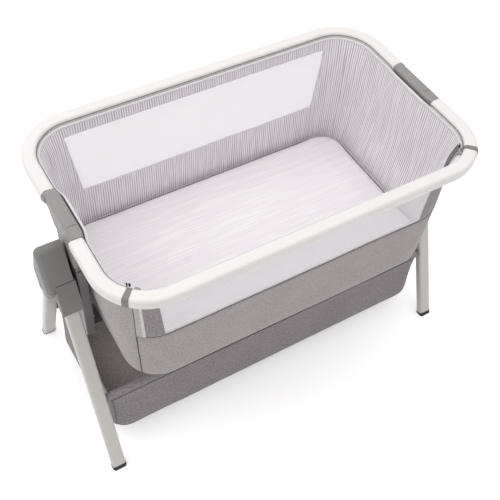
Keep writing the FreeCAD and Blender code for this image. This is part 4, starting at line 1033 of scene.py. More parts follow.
@dataclass
class Tub:
    """The hanging tub: outer cloth, lining, lowering side, nets, zips, seams and bindings."""

    looks: dict[str, bpy.types.Material]
    trims: Trims
    sizes: TubSizes = field(default_factory=TubSizes)
    give: Slack = field(default_factory=Slack)
    row_pitch: float = 8 * MM
    marks: tuple[int, ...] = (697, 690, 672, 664, 504, 502, 490, 396, 349)
    angles: tuple[float, ...] = (75.0, 60.0, 45.0, 30.0, 15.0, 0.0)
    shrink: tuple[float, ...] = (0.8, 0.6, 0.4, 0.2, 0.05)
    loose_angles: int = 3
    proud: float = -0.1 * MM
    stitch: float = 5 * MM
    allowance: float = 1.02
    least_cover: float = 0.301
    strip_allowance: float = 1.05
    binding_core: float = 0.15
    bindings: tuple[float, float] = (2.5 * MM, 1.0 * MM)
    net_depths: tuple[float, float] = (4.2 * MM, 1.2 * MM)
    least_width: float = 0.0101
    profile: tuple[tuple[float, float], ...] = (
        (5.7, -9.0), (6.1, -4.0), (6.0, 0.4), (4.0, 1.6), (1.8, 1.7), (0.4, 0.8), (0.35, -3.0))

    def __post_init__(self) -> None:
        """Lay out the rows and columns."""
        self.loop = TubLoop(self.sizes)
        self.split = self.loop.split
        self.front = [*range(self.split, self.loop.columns), 0]
        self.heights = []
        for high, low in zip(self.marks, self.marks[1:]):
            count = max(1, round((high - low) * MM / self.row_pitch))
            self.heights += [z * MM for z in steps(high, low, count)]
        self.heights.append(self.marks[-1] * MM)
        self.seam_row = self.row(self.sizes.seam)

    # -- the surface
    def slack(self, spot: np.ndarray) -> float:
        """How far the cloth stands out of its drawn form at a point: puckers, folds and sag."""
        seam, top, give = self.sizes.seam, self.sizes.top, self.give
        x, y, height = spot
        calm = smoothstep((top - height) / give.calm)
        broad = ripple(spot, 120 * MM, 3.0) * 1.3 * MM * calm
        fine = ripple((x, y, height * 0.25), 16 * MM, 8.0)
        at_seam = math.exp(-abs(height - seam) / give.at_seam)
        at_top = math.exp(-abs(height - top) / give.at_top)
        puckers = fine * (0.5 * MM * at_seam) - abs(fine) * 0.7 * MM * at_top
        low = smoothstep((seam - height) / give.low)
        corner = smoothstep((abs(x) - give.corner_x) / give.corner_run)
        slanted = (height * 0.55 - abs(x), y * 0.3, 0.0)
        folds = ripple(slanted, 34 * MM, 21.0) * 2.4 * MM * low * corner
        ridge = (abs(x) - give.ridge_x + (give.ridge_z - height) * give.ridge_slope)
        ridge /= give.ridge_width
        above = smoothstep((height - give.crease_foot) / give.crease_run)
        crease = give.crease * math.exp(-ridge * ridge) * low * above if y < 0 else 0.0
        return broad + puckers + folds + crease

    def surface(self, depth: float, lined: bool = False) -> np.ndarray:
        """Rows and columns of points at a depth from the outer face.

        Args:
            depth: How far inside.
            lined: Whether the floor rows are left out, as in the lining.

        Returns:
            The grid of points.
        """
        angles, shrink = ((), ()) if lined else (self.angles, self.shrink)
        loose = len(self.heights) + min(len(angles), self.loose_angles)
        return self.let_down(self.loop.loosened(self.heights, angles, depth, shrink, loose,
                                                self.slack))

    def let_down(self, points: np.ndarray) -> np.ndarray:
        """Points of the cloth, with its top edge a little lower away from the posts."""
        sizes = self.sizes
        share = np.clip((np.abs(points[..., 1]) - sizes.bulge_flat) / sizes.bulge_run, 0.0, 1.0)
        away = np.where(np.abs(points[..., 0]) > sizes.end_from,
                        share * share * (3 - 2 * share), 1.0)
        high = np.clip((points[..., 2] - sizes.let_down_from) / sizes.let_down_run, 0.0, 1.0)
        lowered = points.copy()
        lowered[..., 2] -= sizes.let_down * away * high
        return lowered

    def row(self, height: float) -> int:
        """The row nearest a height."""
        return min(range(len(self.heights)), key=lambda i: abs(self.heights[i] - height))

    def upright(self, sheet: Sheet) -> None:
        """Turn the cut's coordinates so that lines across it stand upright on the walls."""
        level = self.sizes.stack.at(600 * MM)
        radius = level.radius
        cx, cy = level.half_length - radius, level.half_width - radius
        quarter = radius * math.pi / 2
        runs = (2 * cy, quarter, 2 * cx, quarter, 2 * cy, quarter, 2 * cx, quarter)
        starts = np.concatenate([[0.0], np.cumsum(runs)])
        last = self.loop.first["front_a"]
        for row in range(sheet.rows):
            for column in range(sheet.columns + 1):
                x, y, _ = sheet.outer[row, column % sheet.columns]
                if abs(y) <= cy:
                    along = starts[0] + y + cy if x > 0 else starts[4] + cy - y
                elif abs(x) <= cx:
                    along = starts[2] + cx - x if y > 0 else starts[6] + x + cx
                else:
                    px, py = abs(x) - cx, abs(y) - cy
                    angle = math.atan2(py, px)
                    share = angle if (x > 0) == (y > 0) else math.pi / 2 - angle
                    corner = {(True, True): 1, (False, True): 3, (False, False): 5,
                              (True, False): 7}[(x > 0, y > 0)]
                    along = starts[corner] + radius * share
                if column < last // 2 and along > starts[4]:
                    along -= starts[8]
                sheet.uv[row, column, 0] = along

    def opening(self, window: Window, span: str) -> tuple[slice, list[int]]:
        """The rows and columns of a window's cells."""
        return slice(self.row(window.top), self.row(window.bottom)), self.loop.range(span)

    def cells(self, grid: np.ndarray, lowering: bool) -> np.ndarray:
        """Which cells belong to the lowering side, or to the fixed cloth."""
        keep = np.full((grid.shape[0] - 1, grid.shape[1]), not lowering)
        keep[:self.seam_row, self.split:] = lowering
        keep[self.opening(*((self.sizes.front, "front_window") if lowering
                            else (self.sizes.rear, "rear_window")))] = False
        return keep

    # -- the pieces
    def cloth(self, name: str, sheet: Sheet, looks: tuple[str, ...], body: str, slot: str,
              node: str, carriers: list[str]) -> None:
        """Put a large sheet in its node's place, and say what size it was cut to.

        Args:
            name: The piece's name.
            sheet: Its cloth.
            looks: The finishes of its outer face and, if it differs, its inner face.
            body: The body that it moves with.
            slot: A material slot's name, passed on to the piece.
            node: The node whose place it takes.
            carriers: Not used.
        """
        mesh = sheet.mesh(name, [self.looks[look] for look in looks])
        piece = finished_piece(name, mesh, body, slot, node)
        used = np.argwhere(sheet.keep)
        low = np.min([sheet.uv[r, c] for r, c in used], axis=0)
        high = np.max([sheet.uv[r + 1, c + 1] for r, c in used], axis=0)
        width, length = (high - low) * self.allowance
        area = min(sheet.area(), width * length)
        LOG.info("%s: cut %.3f by %.3f m, %.3f square metres", name, width, length, area)
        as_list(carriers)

    def cloths(self) -> None:
        """The fixed outer cloth, the striped lining, and the lowering side's lined cloth."""
        sizes = self.sizes
        outer = self.surface(0.0)
        sheet = Sheet(outer, self.surface(sizes.cloth), self.cells(outer, False), pole=True)
        self.cloth("tub_outer_cloth", sheet, ("tub",), "crib", "tub_cloth", "tub_shell",
                   ["rim_rear", "base_frame"])
        facing = self.surface(sizes.cloth + 0.3 * MM, lined=True)
        sheet = Sheet(facing, self.surface(sizes.wall, lined=True), self.cells(facing, False))
        self.upright(sheet)
        self.cloth("tub_lining", sheet, ("lining", "lining"), "crib", "lining", "liner",
                   ["rim_rear"])
        keep = self.cells(outer, True)[:self.seam_row]
        keep[:, [self.split, self.loop.columns - 1]] = False
        rows = slice(0, self.seam_row + 1)
        outer, inner = outer[rows].copy(), self.surface(sizes.wall)[rows].copy()
        for grid in (outer, inner):
            grid[-1, :, 2] += sizes.seam_gap
        self.cloth("side_cloth", Sheet(outer, inner, keep), ("panel", "lining"), "drop_side",
                   "panel_cloth", "front_panel", ["rim_front"])

    def net(self, name: str, window: Window, span: str, node: str, body: str,
            depth: float) -> None:
        """The net that fills a window, at a depth from the cloth's outer face."""
        outer, inner = self.surface(depth), self.surface(depth + self.sizes.net)
        keep = np.zeros((outer.shape[0] - 1, outer.shape[1]), dtype=bool)
        keep[self.opening(window, span)] = True
        self.cloth(name, Sheet(outer, inner, keep), ("net",), body, "net", node,
                   ["rim_rear" if body == "crib" else "rim_front"])

    def window_edges(self, name: str, window: Window, span: str, body: str, slot: str,
                     thread: str) -> None:
        """The white binding in a window's edge and a row of stitches round it.

        The stitches of the lowering side leave its foot bare, where it folds onto the band.
        """
        fixed = body == "crib"

        def frame_at(grid: np.ndarray, step: int, foot: bool) -> np.ndarray:
            """The window's edge on a grid, some steps out, with or without its foot."""
            top, bottom = self.row(window.top) - step, self.row(window.bottom)
            bottom += step if fixed else 0
            columns = self.loop.range(span)
            first, last = columns[0] - step, columns[-1] + 1 + step
            path = [grid[r, first] for r in range(bottom - 1, top, -1)]
            path += [grid[top, c] for c in range(first, last + 1)]
            path += [grid[r, last] for r in range(top + 1, bottom)]
            if foot:
                path += [grid[bottom, c] for c in range(last, first - 1, -1)]
            return np.array(path)

        middle = self.surface(self.sizes.wall / 2 + 0.4 * MM)
        self.trims.piping(f"{name}_binding", [frame_at(middle, 0, True)], True,
                          self.bindings[not fixed], "binding", body, slot)
        self.trims.stitches(f"{name}_stitches", [frame_at(self.surface(self.proud), 1, fixed)],
                            fixed, self.stitch, thread, body, slot)

    def seams(self) -> None:
        """Cords in the seams of the corners, along the lower band and round the floor."""
        surface, inside = self.surface(0.1 * MM), self.surface(self.sizes.wall)
        first, lowest = self.loop.first, len(self.heights) + 1
        lined = self.row(self.sizes.mattress_top)
        near = [surface[1:lowest, first[name]] for name in ("near_right", "front_a")]
        rear = [surface[:lowest, first[name]] for name in ("rear_a", "rear_left")]
        corners = [inside[1:lined, first[name]] for name in ("rear_a", "rear_left")]
        for name, paths, closed, radius, look, slot in (
                ("corner_seams", near, False, 1.5, "piping", "zip_cloth"),
                ("rear_corner_seams", rear, False, 1.0, "seam", "tub_cloth"),
                ("floor_seam", [surface[lowest]], True, 0.9, "seam", "tub_cloth"),
                ("hinge_seam", [surface[self.seam_row, self.front]], False, 0.9, "seam",
                 "tub_cloth"),
                ("lining_seams", corners, False, 0.7, "pale_thread", "lining")):
            self.trims.piping(name, paths, closed, radius * MM, look, "crib", slot)

    def strip(self, name: str, faces: tuple[np.ndarray, np.ndarray], rows: tuple[int, int],
              columns: list[int], look: str, body: str, node: Optional[str] = None) -> None:
        """A narrow flat band on the cloth between two rows, over some columns.

        Args:
            name: The piece's name.
            faces: The grids of its outer and its inner face.
            rows: Its first and last row.
            columns: Its columns.
            look: Its finish.
            body: The body that it moves with.
            node: The node whose place it takes, if any.
        """
        outer, inner = (grid[rows[0]:rows[1] + 1][:, columns] for grid in faces)
        sheet = open_sheet(outer, inner)
        piece = finished_piece(name, sheet.mesh(name, [self.looks[look]]), body, "zip_cloth",
                               node)
        height = (self.heights[rows[0]] - self.heights[rows[1]]) * self.strip_allowance
        max(sheet.area() / height, self.least_width)
        sheet.area()

    def zips(self) -> None:
        """The zips' covers, their plackets and edgings, and the flaps seen from inside."""
        sizes, start, last = self.sizes, self.split, self.loop.columns
        top, low = self.row(sizes.zip_top), self.seam_row
        beside = (("left", [start - 2, start - 1, start]), ("right", [0, 1, 2]))
        under = self.surface(self.proud)
        faces = (self.surface(-1.0 * MM), under)
        for name, columns in beside:
            self.strip(f"zip_cover_{name}", faces, (top, low), columns, "tub", "crib",
                       f"zip_tape_{name}")
        faces = (self.surface(-1.1 * MM), under)
        for name, columns in (("placket_left", [start, start + 1, start + 2]),
                              ("edging_left", [start + 2, start + 3]),
                              ("placket_right", [last - 2, last - 1, 0]),
                              ("edging_right", [last - 3, last - 2])):
            self.strip(f"zip_{name}", faces, (top, low - 1), columns, name.split("_")[0],
                       "drop_side")
        faces = (self.surface(sizes.wall + 0.2 * MM), self.surface(sizes.wall + 2.2 * MM))
        for name, columns in beside:
            self.strip(f"lining_flap_{name}", faces,
                       (self.row(sizes.flap_top), self.row(sizes.flap_foot)), columns, "seam",
                       "crib")

    def top_edge(self) -> None:
        """The white binding over the cloth's top edge, and the cord against the rail."""
        top = self.sizes.stack.at(self.sizes.top)

        def ring(depth: float, rise: float) -> np.ndarray:
            """The top outline, with its depth and its rise in millimetres."""
            return self.loop.ring(top.inset(depth * MM)) + (0, 0, rise * MM)

        for tag, body, columns, carrier in (
                ("fixed", "crib", list(range(self.split + 1)), "tub_lining"),
                ("side", "drop_side", self.front[1:-1], "side_cloth")):
            outer = self.let_down(np.array([ring(*corner)[columns] for corner in self.profile]))
            core = self.let_down(ring(3, 0))[columns] - (0, 0, 2 * MM)
            sheet = open_sheet(outer, outer + (core - outer) * self.binding_core)
            name = f"top_binding_{tag}"
            piece = finished_piece(name, sheet.mesh(name, [self.looks["binding"]]), body,
                                   "lining")
            length = float(sheet.uv[0, -2, 0])
            max(sheet.area() / length, self.least_width)
            if tag == "fixed":
                self.trims.piping("rail_cord_fixed", [ring(0.6, 1.0)[columns]], False, 0.8 * MM,
                                  "seam", body, "zip_cloth")

    def stitching(self) -> None:
        """Rows of stitches beside the seams."""
        surface, inside = self.surface(self.proud), self.surface(self.sizes.wall + 0.1 * MM)
        first, lowest = self.loop.first, len(self.heights)
        ends = [surface[2:lowest, first[name] + step]
                for name, step in (("near_right", 1), ("front_a", -1))]
        for name, paths, closed, look, slot in (
                ("band_stitches", [surface[self.seam_row + 1, self.front]], False, "seam",
                 "tub_cloth"),
                ("floor_stitches", [surface[lowest - 1]], True, "pale_thread", "tub_cloth"),
                ("corner_stitches", ends, False, "pale_thread", "tub_cloth"),
                ("binding_stitches", [inside[1, :self.split]], False, "pale_thread", "lining")):
            self.trims.stitches(name, paths, closed, self.stitch, look, "crib", slot)

    def build(self) -> None:
        """Make every piece of the tub."""
        rear, front = self.sizes.rear, self.sizes.front
        self.cloths()
        self.net("rear_net", rear, "rear_window", "mesh_rear", "crib", self.net_depths[0])
        self.net("side_net", front, "front_window", "mesh_front", "drop_side",
                 self.net_depths[1])
        self.window_edges("rear_window", rear, "rear_window", "crib", "tub_cloth", "seam")
        self.window_edges("side_window", front, "front_window", "drop_side", "panel_cloth",
                          "panel")
        self.seams()
        self.zips()
        self.top_edge()
        self.stitching()


# ------------------------------------------------------------------ the basket
@dataclass(frozen=True)
class BasketSizes:
    """Sizes of the storage basket, as in the model."""

    stack: Stack = Stack((
        Level(205 * MM, 463 * MM, 164.9 * MM, 14 * MM),
        Level(150 * MM, 467.5 * MM, 169.9 * MM, 32 * MM),
        Level(71 * MM, 474 * MM, 177 * MM, 58 * MM),
    ), 57 * MM, 14 * MM)
    cloth: float = 2.5 * MM
    rail_y: float = 154.1 * MM
    rail_z: float = 205 * MM
    hem: float = 10.8 * MM
    bore: float = 8.3 * MM
    hem_half: float = 464.5 * MM
    heights: tuple[int, int] = (205, 71)
    slack_run: float = 40 * MM
    depth: float = 148 * MM


class BasketLoop(Loop):
    """The basket's columns: four sides and four corners."""

    spans = (Span("right", 34), Span("rear_right", 10), Span("rear", 90), Span("rear_left", 10),
             Span("left", 34), Span("near_left", 10), Span("front", 90), Span("near_right", 10))

    def ring(self, level: Level) -> np.ndarray:
        """The points of one outline, one for each column."""
        cx, cy = level.half_length - level.radius, level.half_width - level.radius
        right, flat = math.pi / 2, []
        for turn, (sx, sy) in enumerate(CORNERS):
            side, corner = self.spans[2 * turn:2 * turn + 2]
            if turn % 2:
                flat += [(x, sy * level.half_width) for x in steps(-sx * cx, sx * cx, side.count)]
            else:
                flat += [(sx * level.half_length, y) for y in steps(-sy * cy, sy * cy, side.count)]
            flat += arc((sx * cx, sy * cy), level.radius, turn * right, (turn + 1) * right,
                        corner.count)
        return np.array([(x, y, level.z) for x, y in flat])


@dataclass
class Basket:
    """The cloth basket: its walls, rolled hems, end bindings, seams and stitches."""

    looks: dict[str, bpy.types.Material]
    trims: Trims
    sizes: BasketSizes = field(default_factory=BasketSizes)
    seam_out: float = 11.4 * MM
    seam_up: float = -3 * MM
    rows: int = 17
    hem_steps: int = 60
    hem_around: int = 20
    hang: float = 0.6

    def __post_init__(self) -> None:
        """Lay out the columns."""
        self.loop = BasketLoop(self.sizes.stack)

    def slack(self, spot: np.ndarray) -> float:
        """How far the cloth stands out at a point: broad waves, small ones and an inward bow."""
        sizes = self.sizes
        free = smoothstep((sizes.rail_z - spot[2]) / sizes.slack_run)
        broad = ripple(spot, 150 * MM, 5.0) * 1.8 * MM
        fine = ripple((spot[0], spot[1], spot[2] * 0.4), 30 * MM, 12.0) * 0.6 * MM
        share = min(max((spot[2] - sizes.stack.bottom) / sizes.depth, 0.0), 1.0)
        return (broad + fine - 2.2 * MM * math.sin(math.pi * share)) * free

    def surface(self, depth: float) -> np.ndarray:
        """Rows and columns of points at a depth from the outer face, gently slack."""
        high, low = self.sizes.heights
        heights = [z * MM for z in steps(high, low, self.rows)] + [low * MM]
        return self.loop.loosened(heights, (67.5, 45.0, 22.5, 0.0), depth,
                                  (0.85, 0.65, 0.45, 0.25, 0.08), len(heights) + 2, self.slack)

    def walls(self) -> None:
        """The walls and floor as one cloth."""
        name = "basket_cloth_walls"
        outer, inner = self.surface(0.0), self.surface(self.sizes.cloth)
        keep = np.ones((outer.shape[0] - 1, outer.shape[1]), dtype=bool)
        sheet = Sheet(outer, inner, keep, pole=True)
        # The inner face takes the lighter copy of the same cloth: painted light on the inside.
        mesh = sheet.mesh(name, [self.looks["basket"], self.looks["basket_inside"]])
        piece = finished_piece(name, mesh, "stand", "basket_cloth", "basket")
        width, area = float(sheet.uv[0, -1, 0]), sheet.area()

    def hem_face(self, way: int, radius: float, puckered: bool) -> np.ndarray:
        """One face of a rolled hem.

        Args:
            way: -1 for the front rail and 1 for the rear rail.
            radius: The face's radius round its rail.
            puckered: Whether it gives a little where it's sewn, as the outer face does.

        Returns:
            Its points, along the rail and round it.
        """
        sizes, grid = self.sizes, []
        for step in range(self.hem_around):
            turn = 2 * math.pi * step / self.hem_around
            line = []
            for i in range(self.hem_steps + 1):
                x = -sizes.hem_half + 2 * sizes.hem_half * i / self.hem_steps
                give = ripple((x, way, turn * 0.02), 40 * MM, 9.0) * 0.4 * MM
                reach = radius + (give - 0.3 * MM if puckered else 0.0)
                line.append((x, way * sizes.rail_y + reach * math.cos(turn),
                             sizes.rail_z + reach * math.sin(turn)))
            grid.append(line)
        return np.transpose(np.array(grid), (1, 0, 2))

    def hems(self) -> None:
        """The rolled hem round each rail."""
        sizes = self.sizes
        for end, way in ENDS:
            name = f"basket_hem_{end}"
            keep = np.ones((self.hem_steps, self.hem_around), dtype=bool)
            sheet = Sheet(self.hem_face(way, sizes.hem, True),
                          self.hem_face(way, sizes.bore, False), keep)
            mesh = sheet.mesh(name, [self.looks["hem"]])
            tool = bmesh.new()
            tool.from_mesh(mesh)
            bmesh.ops.recalc_face_normals(tool, faces=tool.faces)
            tool.to_mesh(mesh)
            tool.free()
            piece = finished_piece(name, mesh, "stand", "basket_cloth")
            length = 2 * sizes.hem_half
            sheet.area() / length

    def sewing(self) -> None:
        """The seam on each hem, the stitches under it, the floor's seam and the end bindings."""
        surface, sizes, loop = self.surface(-0.1 * MM), self.sizes, self.loop
        floor = self.rows + 2
        creases = [[(x, way * (sizes.rail_y + self.seam_out), sizes.rail_z + self.seam_up)
                    for x in steps(-sizes.hem_half, sizes.hem_half, self.hem_steps)]
                   for _, way in ENDS]
        corners = [surface[1:floor + 1, loop.first[name] + 5]
                   for name in ("rear_right", "rear_left", "near_left", "near_right")]
        below = [surface[2, loop.range(name)] for name in ("front", "rear")]
        ends = [surface[0, loop.range(name)] for name in ("left", "right")]
        for sewn, name, paths, closed, size, look in (
                (self.trims.piping, "creases", creases, False, 0.9, "piping"),
                (self.trims.stitches, "stitches", below, False, 6, "pale_thread"),
                (self.trims.piping, "corner_seams", corners, False, 0.9, "seam"),
                (self.trims.piping, "floor_seam", [surface[floor]], True, 0.9, "seam"),
                (self.trims.piping, "end_bindings", ends, False, 2.2, "hem")):
            sewn(f"basket_{name}", paths, closed, size * MM, look, "stand", "basket_cloth")

    def build(self) -> None:
        """Make every piece of the basket."""
        self.walls()
        self.hems()
        self.sewing()


# ------------------------------------------------------------------ the mattress
@dataclass
class Mattress:
    """The thin foam mattress in its fitted cover."""

    looks: dict[str, bpy.types.Material]
    trims: Trims
    half_length: float = 407 * MM
    half_width: float = 229.5 * MM
    radius: float = 72 * MM
    bottom: float = 339.6 * MM
    thick: float = 55.5 * MM
    shrink: float = 5 * MM
    cap: float = 6 * MM
    side_steps: int = 28
    even: float = 6 * MM
    quick_even: float = 10 * MM
    pressure: float = 4.0
    quality: int = 4
    least_radius: float = 6 * MM
    welt_in: float = 2.4 * MM
    above: float = 1.5 * MM
    frames: int = 20
    welt: float = 0.72

    def outline(self, inset: float, z: float) -> list[tuple]:
        """One level of the cushion before it is filled."""
        reach, count = max(self.radius - inset, self.least_radius), self.side_steps
        cx, cy = self.half_length - inset - reach, self.half_width - inset - reach
        right = math.pi / 2
        points = []
        for turn, (sx, sy) in enumerate(CORNERS):
            points += arc((sx * cx, sy * cy), reach, turn * right, (turn + 1) * right, 9)
            along = [(sx * cx, sy * (cy + reach)), (-sx * cx, sy * (cy + reach))] \
                if sx * sy > 0 else [(sx * (cx + reach), sy * cy), (sx * (cx + reach), -sy * cy)]
            points += [(along[0][0] + (along[1][0] - along[0][0]) * i / count,
                        along[0][1] + (along[1][1] - along[0][1]) * i / count)
                       for i in range(count)]
        return [(x, y, z) for x, y in points]

    def form(self) -> bpy.types.Mesh:
        """The cushion's closed form, drawn a little small for the filling to swell."""
        small, thick = self.shrink, self.thick
        rows = ((10, 0), (3, 0.08), (0.5, 0.25), (0, 0.5), (0.5, 0.72), (3, 0.88), (10, 0.965),
                (26, 1.0))
        points, faces = [], []
        for inset, share in rows:
            points += self.outline(small + inset * MM, self.bottom + thick * share)
        count = len(points) // len(rows)
        for row in range(len(rows) - 1):
            for i in range(count):
                a, b = row * count + i, row * count + (i + 1) % count
                faces.append((a, b, b + count, a + count))
        faces.append(tuple(reversed(range(count))))
        faces.append(tuple(range((len(rows) - 1) * count, len(rows) * count)))
        mesh = bpy.data.meshes.new("mattress_cushion")
        mesh.from_pydata(points, [], faces)
        return mesh

    def filled(self, piece: bpy.types.Object) -> None:
        """Fill the cover by simulation, and keep each point near its drawn place."""
        remesh = piece.modifiers.new("even", "REMESH")
        remesh.mode, remesh.voxel_size = "VOXEL", self.even
        even, drawn = evaluated(piece), piece.data
        piece.modifiers.remove(remesh)
        piece.data = even
        bpy.data.meshes.remove(drawn)
        rest = np.empty(len(even.vertices) * 3, dtype=np.float32)
        even.vertices.foreach_get("co", rest)
        cloth = piece.modifiers.new("cover", "CLOTH")
        cloth.settings.use_pressure = True
        cloth.settings.uniform_pressure_force = self.pressure
        cloth.settings.effector_weights.gravity = 0.0
        cloth.settings.quality = self.quality
        scene = bpy.context.scene
        scene.frame_start, scene.frame_end = 1, self.frames
        for number in range(1, self.frames + 1):
            scene.frame_set(number)
        swollen = evaluated(piece)
        moved = np.empty_like(rest)
        swollen.vertices.foreach_get("co", moved)
        piece.modifiers.remove(cloth)
        scene.frame_set(1)
        rest, moved = rest.reshape(-1, 3), moved.reshape(-1, 3)
        shift = moved - rest
        far = np.linalg.norm(shift, axis=1, keepdims=True)
        shift *= np.minimum(1.0, self.cap / np.maximum(far, 1e-9))
        placed = rest + shift
        placed[:, 2] = np.maximum(placed[:, 2], self.bottom)
        even.vertices.foreach_set("co", placed.astype(np.float32).ravel())
        bpy.data.meshes.remove(swollen)
        even.update()

    def settled(self, mesh: bpy.types.Mesh) -> None:
        """Give the cover its slight looseness and keep it inside the mattress's own space."""
        spots = np.empty(len(mesh.vertices) * 3, dtype=np.float32)
        mesh.vertices.foreach_get("co", spots)
        spots = spots.reshape(-1, 3)
        top = self.bottom + self.thick
        for spot in spots:
            if spot[2] > self.bottom + 0.5 * self.thick:
                spot[2] += ripple((spot[0], spot[1], 0.0), 110 * MM, 4.0) * 0.9 * MM
                spot[2] += ripple((spot[0] * 0.4, spot[1], 0.0), 45 * MM, 14.0) * 0.3 * MM
        spots[:, 0] = np.clip(spots[:, 0], -self.half_length, self.half_length)
        spots[:, 1] = np.clip(spots[:, 1], -self.half_width, self.half_width)
        spots[:, 2] = np.clip(spots[:, 2], self.bottom, top + self.above)
        mesh.vertices.foreach_set("co", spots.ravel())
        mesh.update()

    def build(self) -> None:
        """Make the cushion and one welt round it."""
        piece = placed("mattress_cushion", self.form())
        self.filled(piece)
        self.settled(piece.data)
        piece.data.materials.clear()
        piece.data.materials.append(self.looks["cover"])
        piece.data.shade_smooth()
        soft = piece.modifiers.new("soft", "SUBSURF")
        soft.levels = soft.render_levels = 1
        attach(piece, "crib")
        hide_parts("mattress")
        LOG.info("mattress_cushion: %d faces", len(piece.data.polygons))
        welt = self.outline(self.welt_in, self.bottom + self.thick * self.welt)
        self.trims.piping("mattress_welt", [welt], True, 1.2 * MM, "binding", "crib",
                          "mattress_cover")


# ------------------------------------------------------------------ the hard parts
@dataclass
class HardParts:
    """The rails, posts, hubs, legs and fittings, whose shapes come from the model."""

    looks: dict[str, bpy.types.Material]

    def look_of(self, node: str) -> Optional[str]:
        """Which finish a node takes, or none for a soft node."""
        starts = (("rim_", "rail"), ("rail_collar", "plastic"), ("rail_plug", "plastic"),
                  ("corner_plug", "plastic"), ("rail_latch", "latch"), ("rail_cups", "plastic"),
                  ("bridge", "bridge"), ("post_cap", "plastic"), ("post_screws", "steel"),
                  ("post_", "post"), ("hub", "plastic"), ("guide_block", "plastic"),
                  ("height_button", "bridge"), ("lock_pin", "steel"), ("leg_screws", "steel"),
                  ("leg_", "leg"), ("foot_", "rubber"), ("basket_rail", "leg"),
                  ("bracket_screws", "steel"), ("base_bracket", "post"), ("base_frame", "leg"),
                  # The basket's board takes the lighter copy of the taupe cloth: painted light.
                  ("base_board", "board"), ("basket_board", "lit_tray"))
        return next((look for start, look in starts if node.startswith(start)), None)

    def build(self) -> None:
        """Dress every hard node."""
        for node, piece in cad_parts.items():
            look = self.look_of(node)
            if look is None or piece.type != "MESH":
                continue
            piece.data.materials.clear()
            piece.data.materials.append(self.looks[look])
            LOG.info("%s: dressed as %s", node, look)


@dataclass
class Fittings:
    """Small parts on the hard ones: zip pulls, end collars, dark cords of painted shadow along the
    moulding seams, and height marks.
    """

    looks: dict[str, bpy.types.Material]
    trims: Trims
    bend_x: float = 344 * MM
    bend_y: float = 160 * MM
    cap_seam: float = 541.2 * MM
    cap_face: float = 43.3 * MM
    nose_y: float = -38 * MM
    bridge_top: float = 707 * MM
    mark_z: float = 560 * MM

    def rounded_block(self, name: str, low: tuple, high: tuple, radius: float, look: str,
                      body: str, slot: str, turn: Optional[Matrix] = None) -> bpy.types.Object:
        """A block with rounded edges between two corners, turned in place if asked."""
        tool = bmesh.new()
        bmesh.ops.create_cube(tool, size=1.0)
        middle = (Vector(low) + Vector(high)) / 2
        size = Vector(high) - Vector(low)
        bmesh.ops.scale(tool, vec=size, verts=tool.verts)
        bmesh.ops.bevel(tool, geom=tool.edges[:], offset=radius, segments=3, profile=0.5,
                        affect="EDGES")
        if turn:
            bmesh.ops.transform(tool, matrix=turn, verts=tool.verts)
        bmesh.ops.translate(tool, vec=middle, verts=tool.verts)
        bmesh.ops.recalc_face_normals(tool, faces=tool.faces)
        mesh = bpy.data.meshes.new(name)
        tool.to_mesh(mesh)
        tool.free()
        mesh.materials.append(self.looks[look])
        return finished_piece(name, mesh, body, slot)

    def zip_pulls(self, name: str, side: int) -> None:
        """The slider and the hanging pull at the top of a near corner's zip, on the inside."""
        for part, degrees, size, height in (("slider", 41.6, (3.6, 4.2, 8.0), 697.0),
                                            ("pull", 37.6, (2.2, 3.4, 11.0), 695.0)):
            turn, reach = math.radians(degrees), 87 * MM
            x = side * (self.bend_x + reach * math.cos(turn))
            y = -self.bend_y - reach * math.sin(turn)
            middle = Vector((x, y, height * MM))
            half = Vector(size) * (MM / 2)
            spin = Matrix.Rotation(-side * turn, 4, "Z")
            self.rounded_block(f"zip_{part}_{name}", middle - half, middle + half, 0.8 * MM,
                               "black", "crib", "latch_plastic", spin)

    def end_collar(self, name: str, side: int) -> None:
        """The collar that closes the rail's end against the bridge's rear end."""
        self.sided_block(f"bridge_collar_{name}", side, (441, 60, 678.4), (470.6, 82, 705.6),
                         8, "bridge", "grey_plastic")

    def height_mark(self, name: str, side: int) -> None:
        """The dark mark on a post's near face that shows the height."""
        self.sided_block(f"height_mark_{name}", side, (446, -42.5, self.mark_z / MM - 2),
                         (457, -40.5, self.mark_z / MM + 2), 0.4, "black", "latch_plastic")

    def sided_block(self, name: str, side: int, low: tuple, high: tuple, radius: float,
                    look: str, slot: str) -> None:
        """A rounded block of the crib on one side, with the right side's corners in mm."""
        inner, outer = sorted((side * low[0] * MM, side * high[0] * MM))
        self.rounded_block(name, (inner, low[1] * MM, low[2] * MM),
                           (outer, high[1] * MM, high[2] * MM), radius * MM, look, "crib", slot)

    def seam_shadow_cords(self, name: str, side: int) -> None:
        """Dark cords of painted shadow along the lines where the hub's and the post's caps and the
        bridge's nose begin.
        """
        ends = [[(side * x * MM, way * self.cap_face, self.cap_seam)
                 for x in steps(463.4, 511.4, 12)] for way in (-1, 1)]
        arch = [(side * x * MM, self.nose_y - ((x - 450) / 12) ** 2 * 3 * MM,
                 self.bridge_top - 0.1 * MM) for x in steps(440, 463, 12)]
        cap = [(side * x * MM, -41.8 * MM, self.mark_z + 15 * MM) for x in steps(441, 462, 12)]
        # Each cord is painted shadow: a dark line where the seam's narrow gap falls into shade.
        for part, paths, radius, body in (("hub_seams", ends, 0.8, "stand"),
                                          ("nose_seam", [arch], 0.5, "crib"),
                                          ("post_seam", [cap], 0.7, "crib")):
            self.trims.piping(f"{part}_{name}", paths, False, radius * MM, "seam_shadow", body,
                              "grey_plastic")

    def build(self) -> None:
        """Make every fitting."""
        for name, side in SIDES:
            self.zip_pulls(name, side)
            self.end_collar(name, side)
            self.seam_shadow_cords(name, side)
            self.height_mark(name, side)


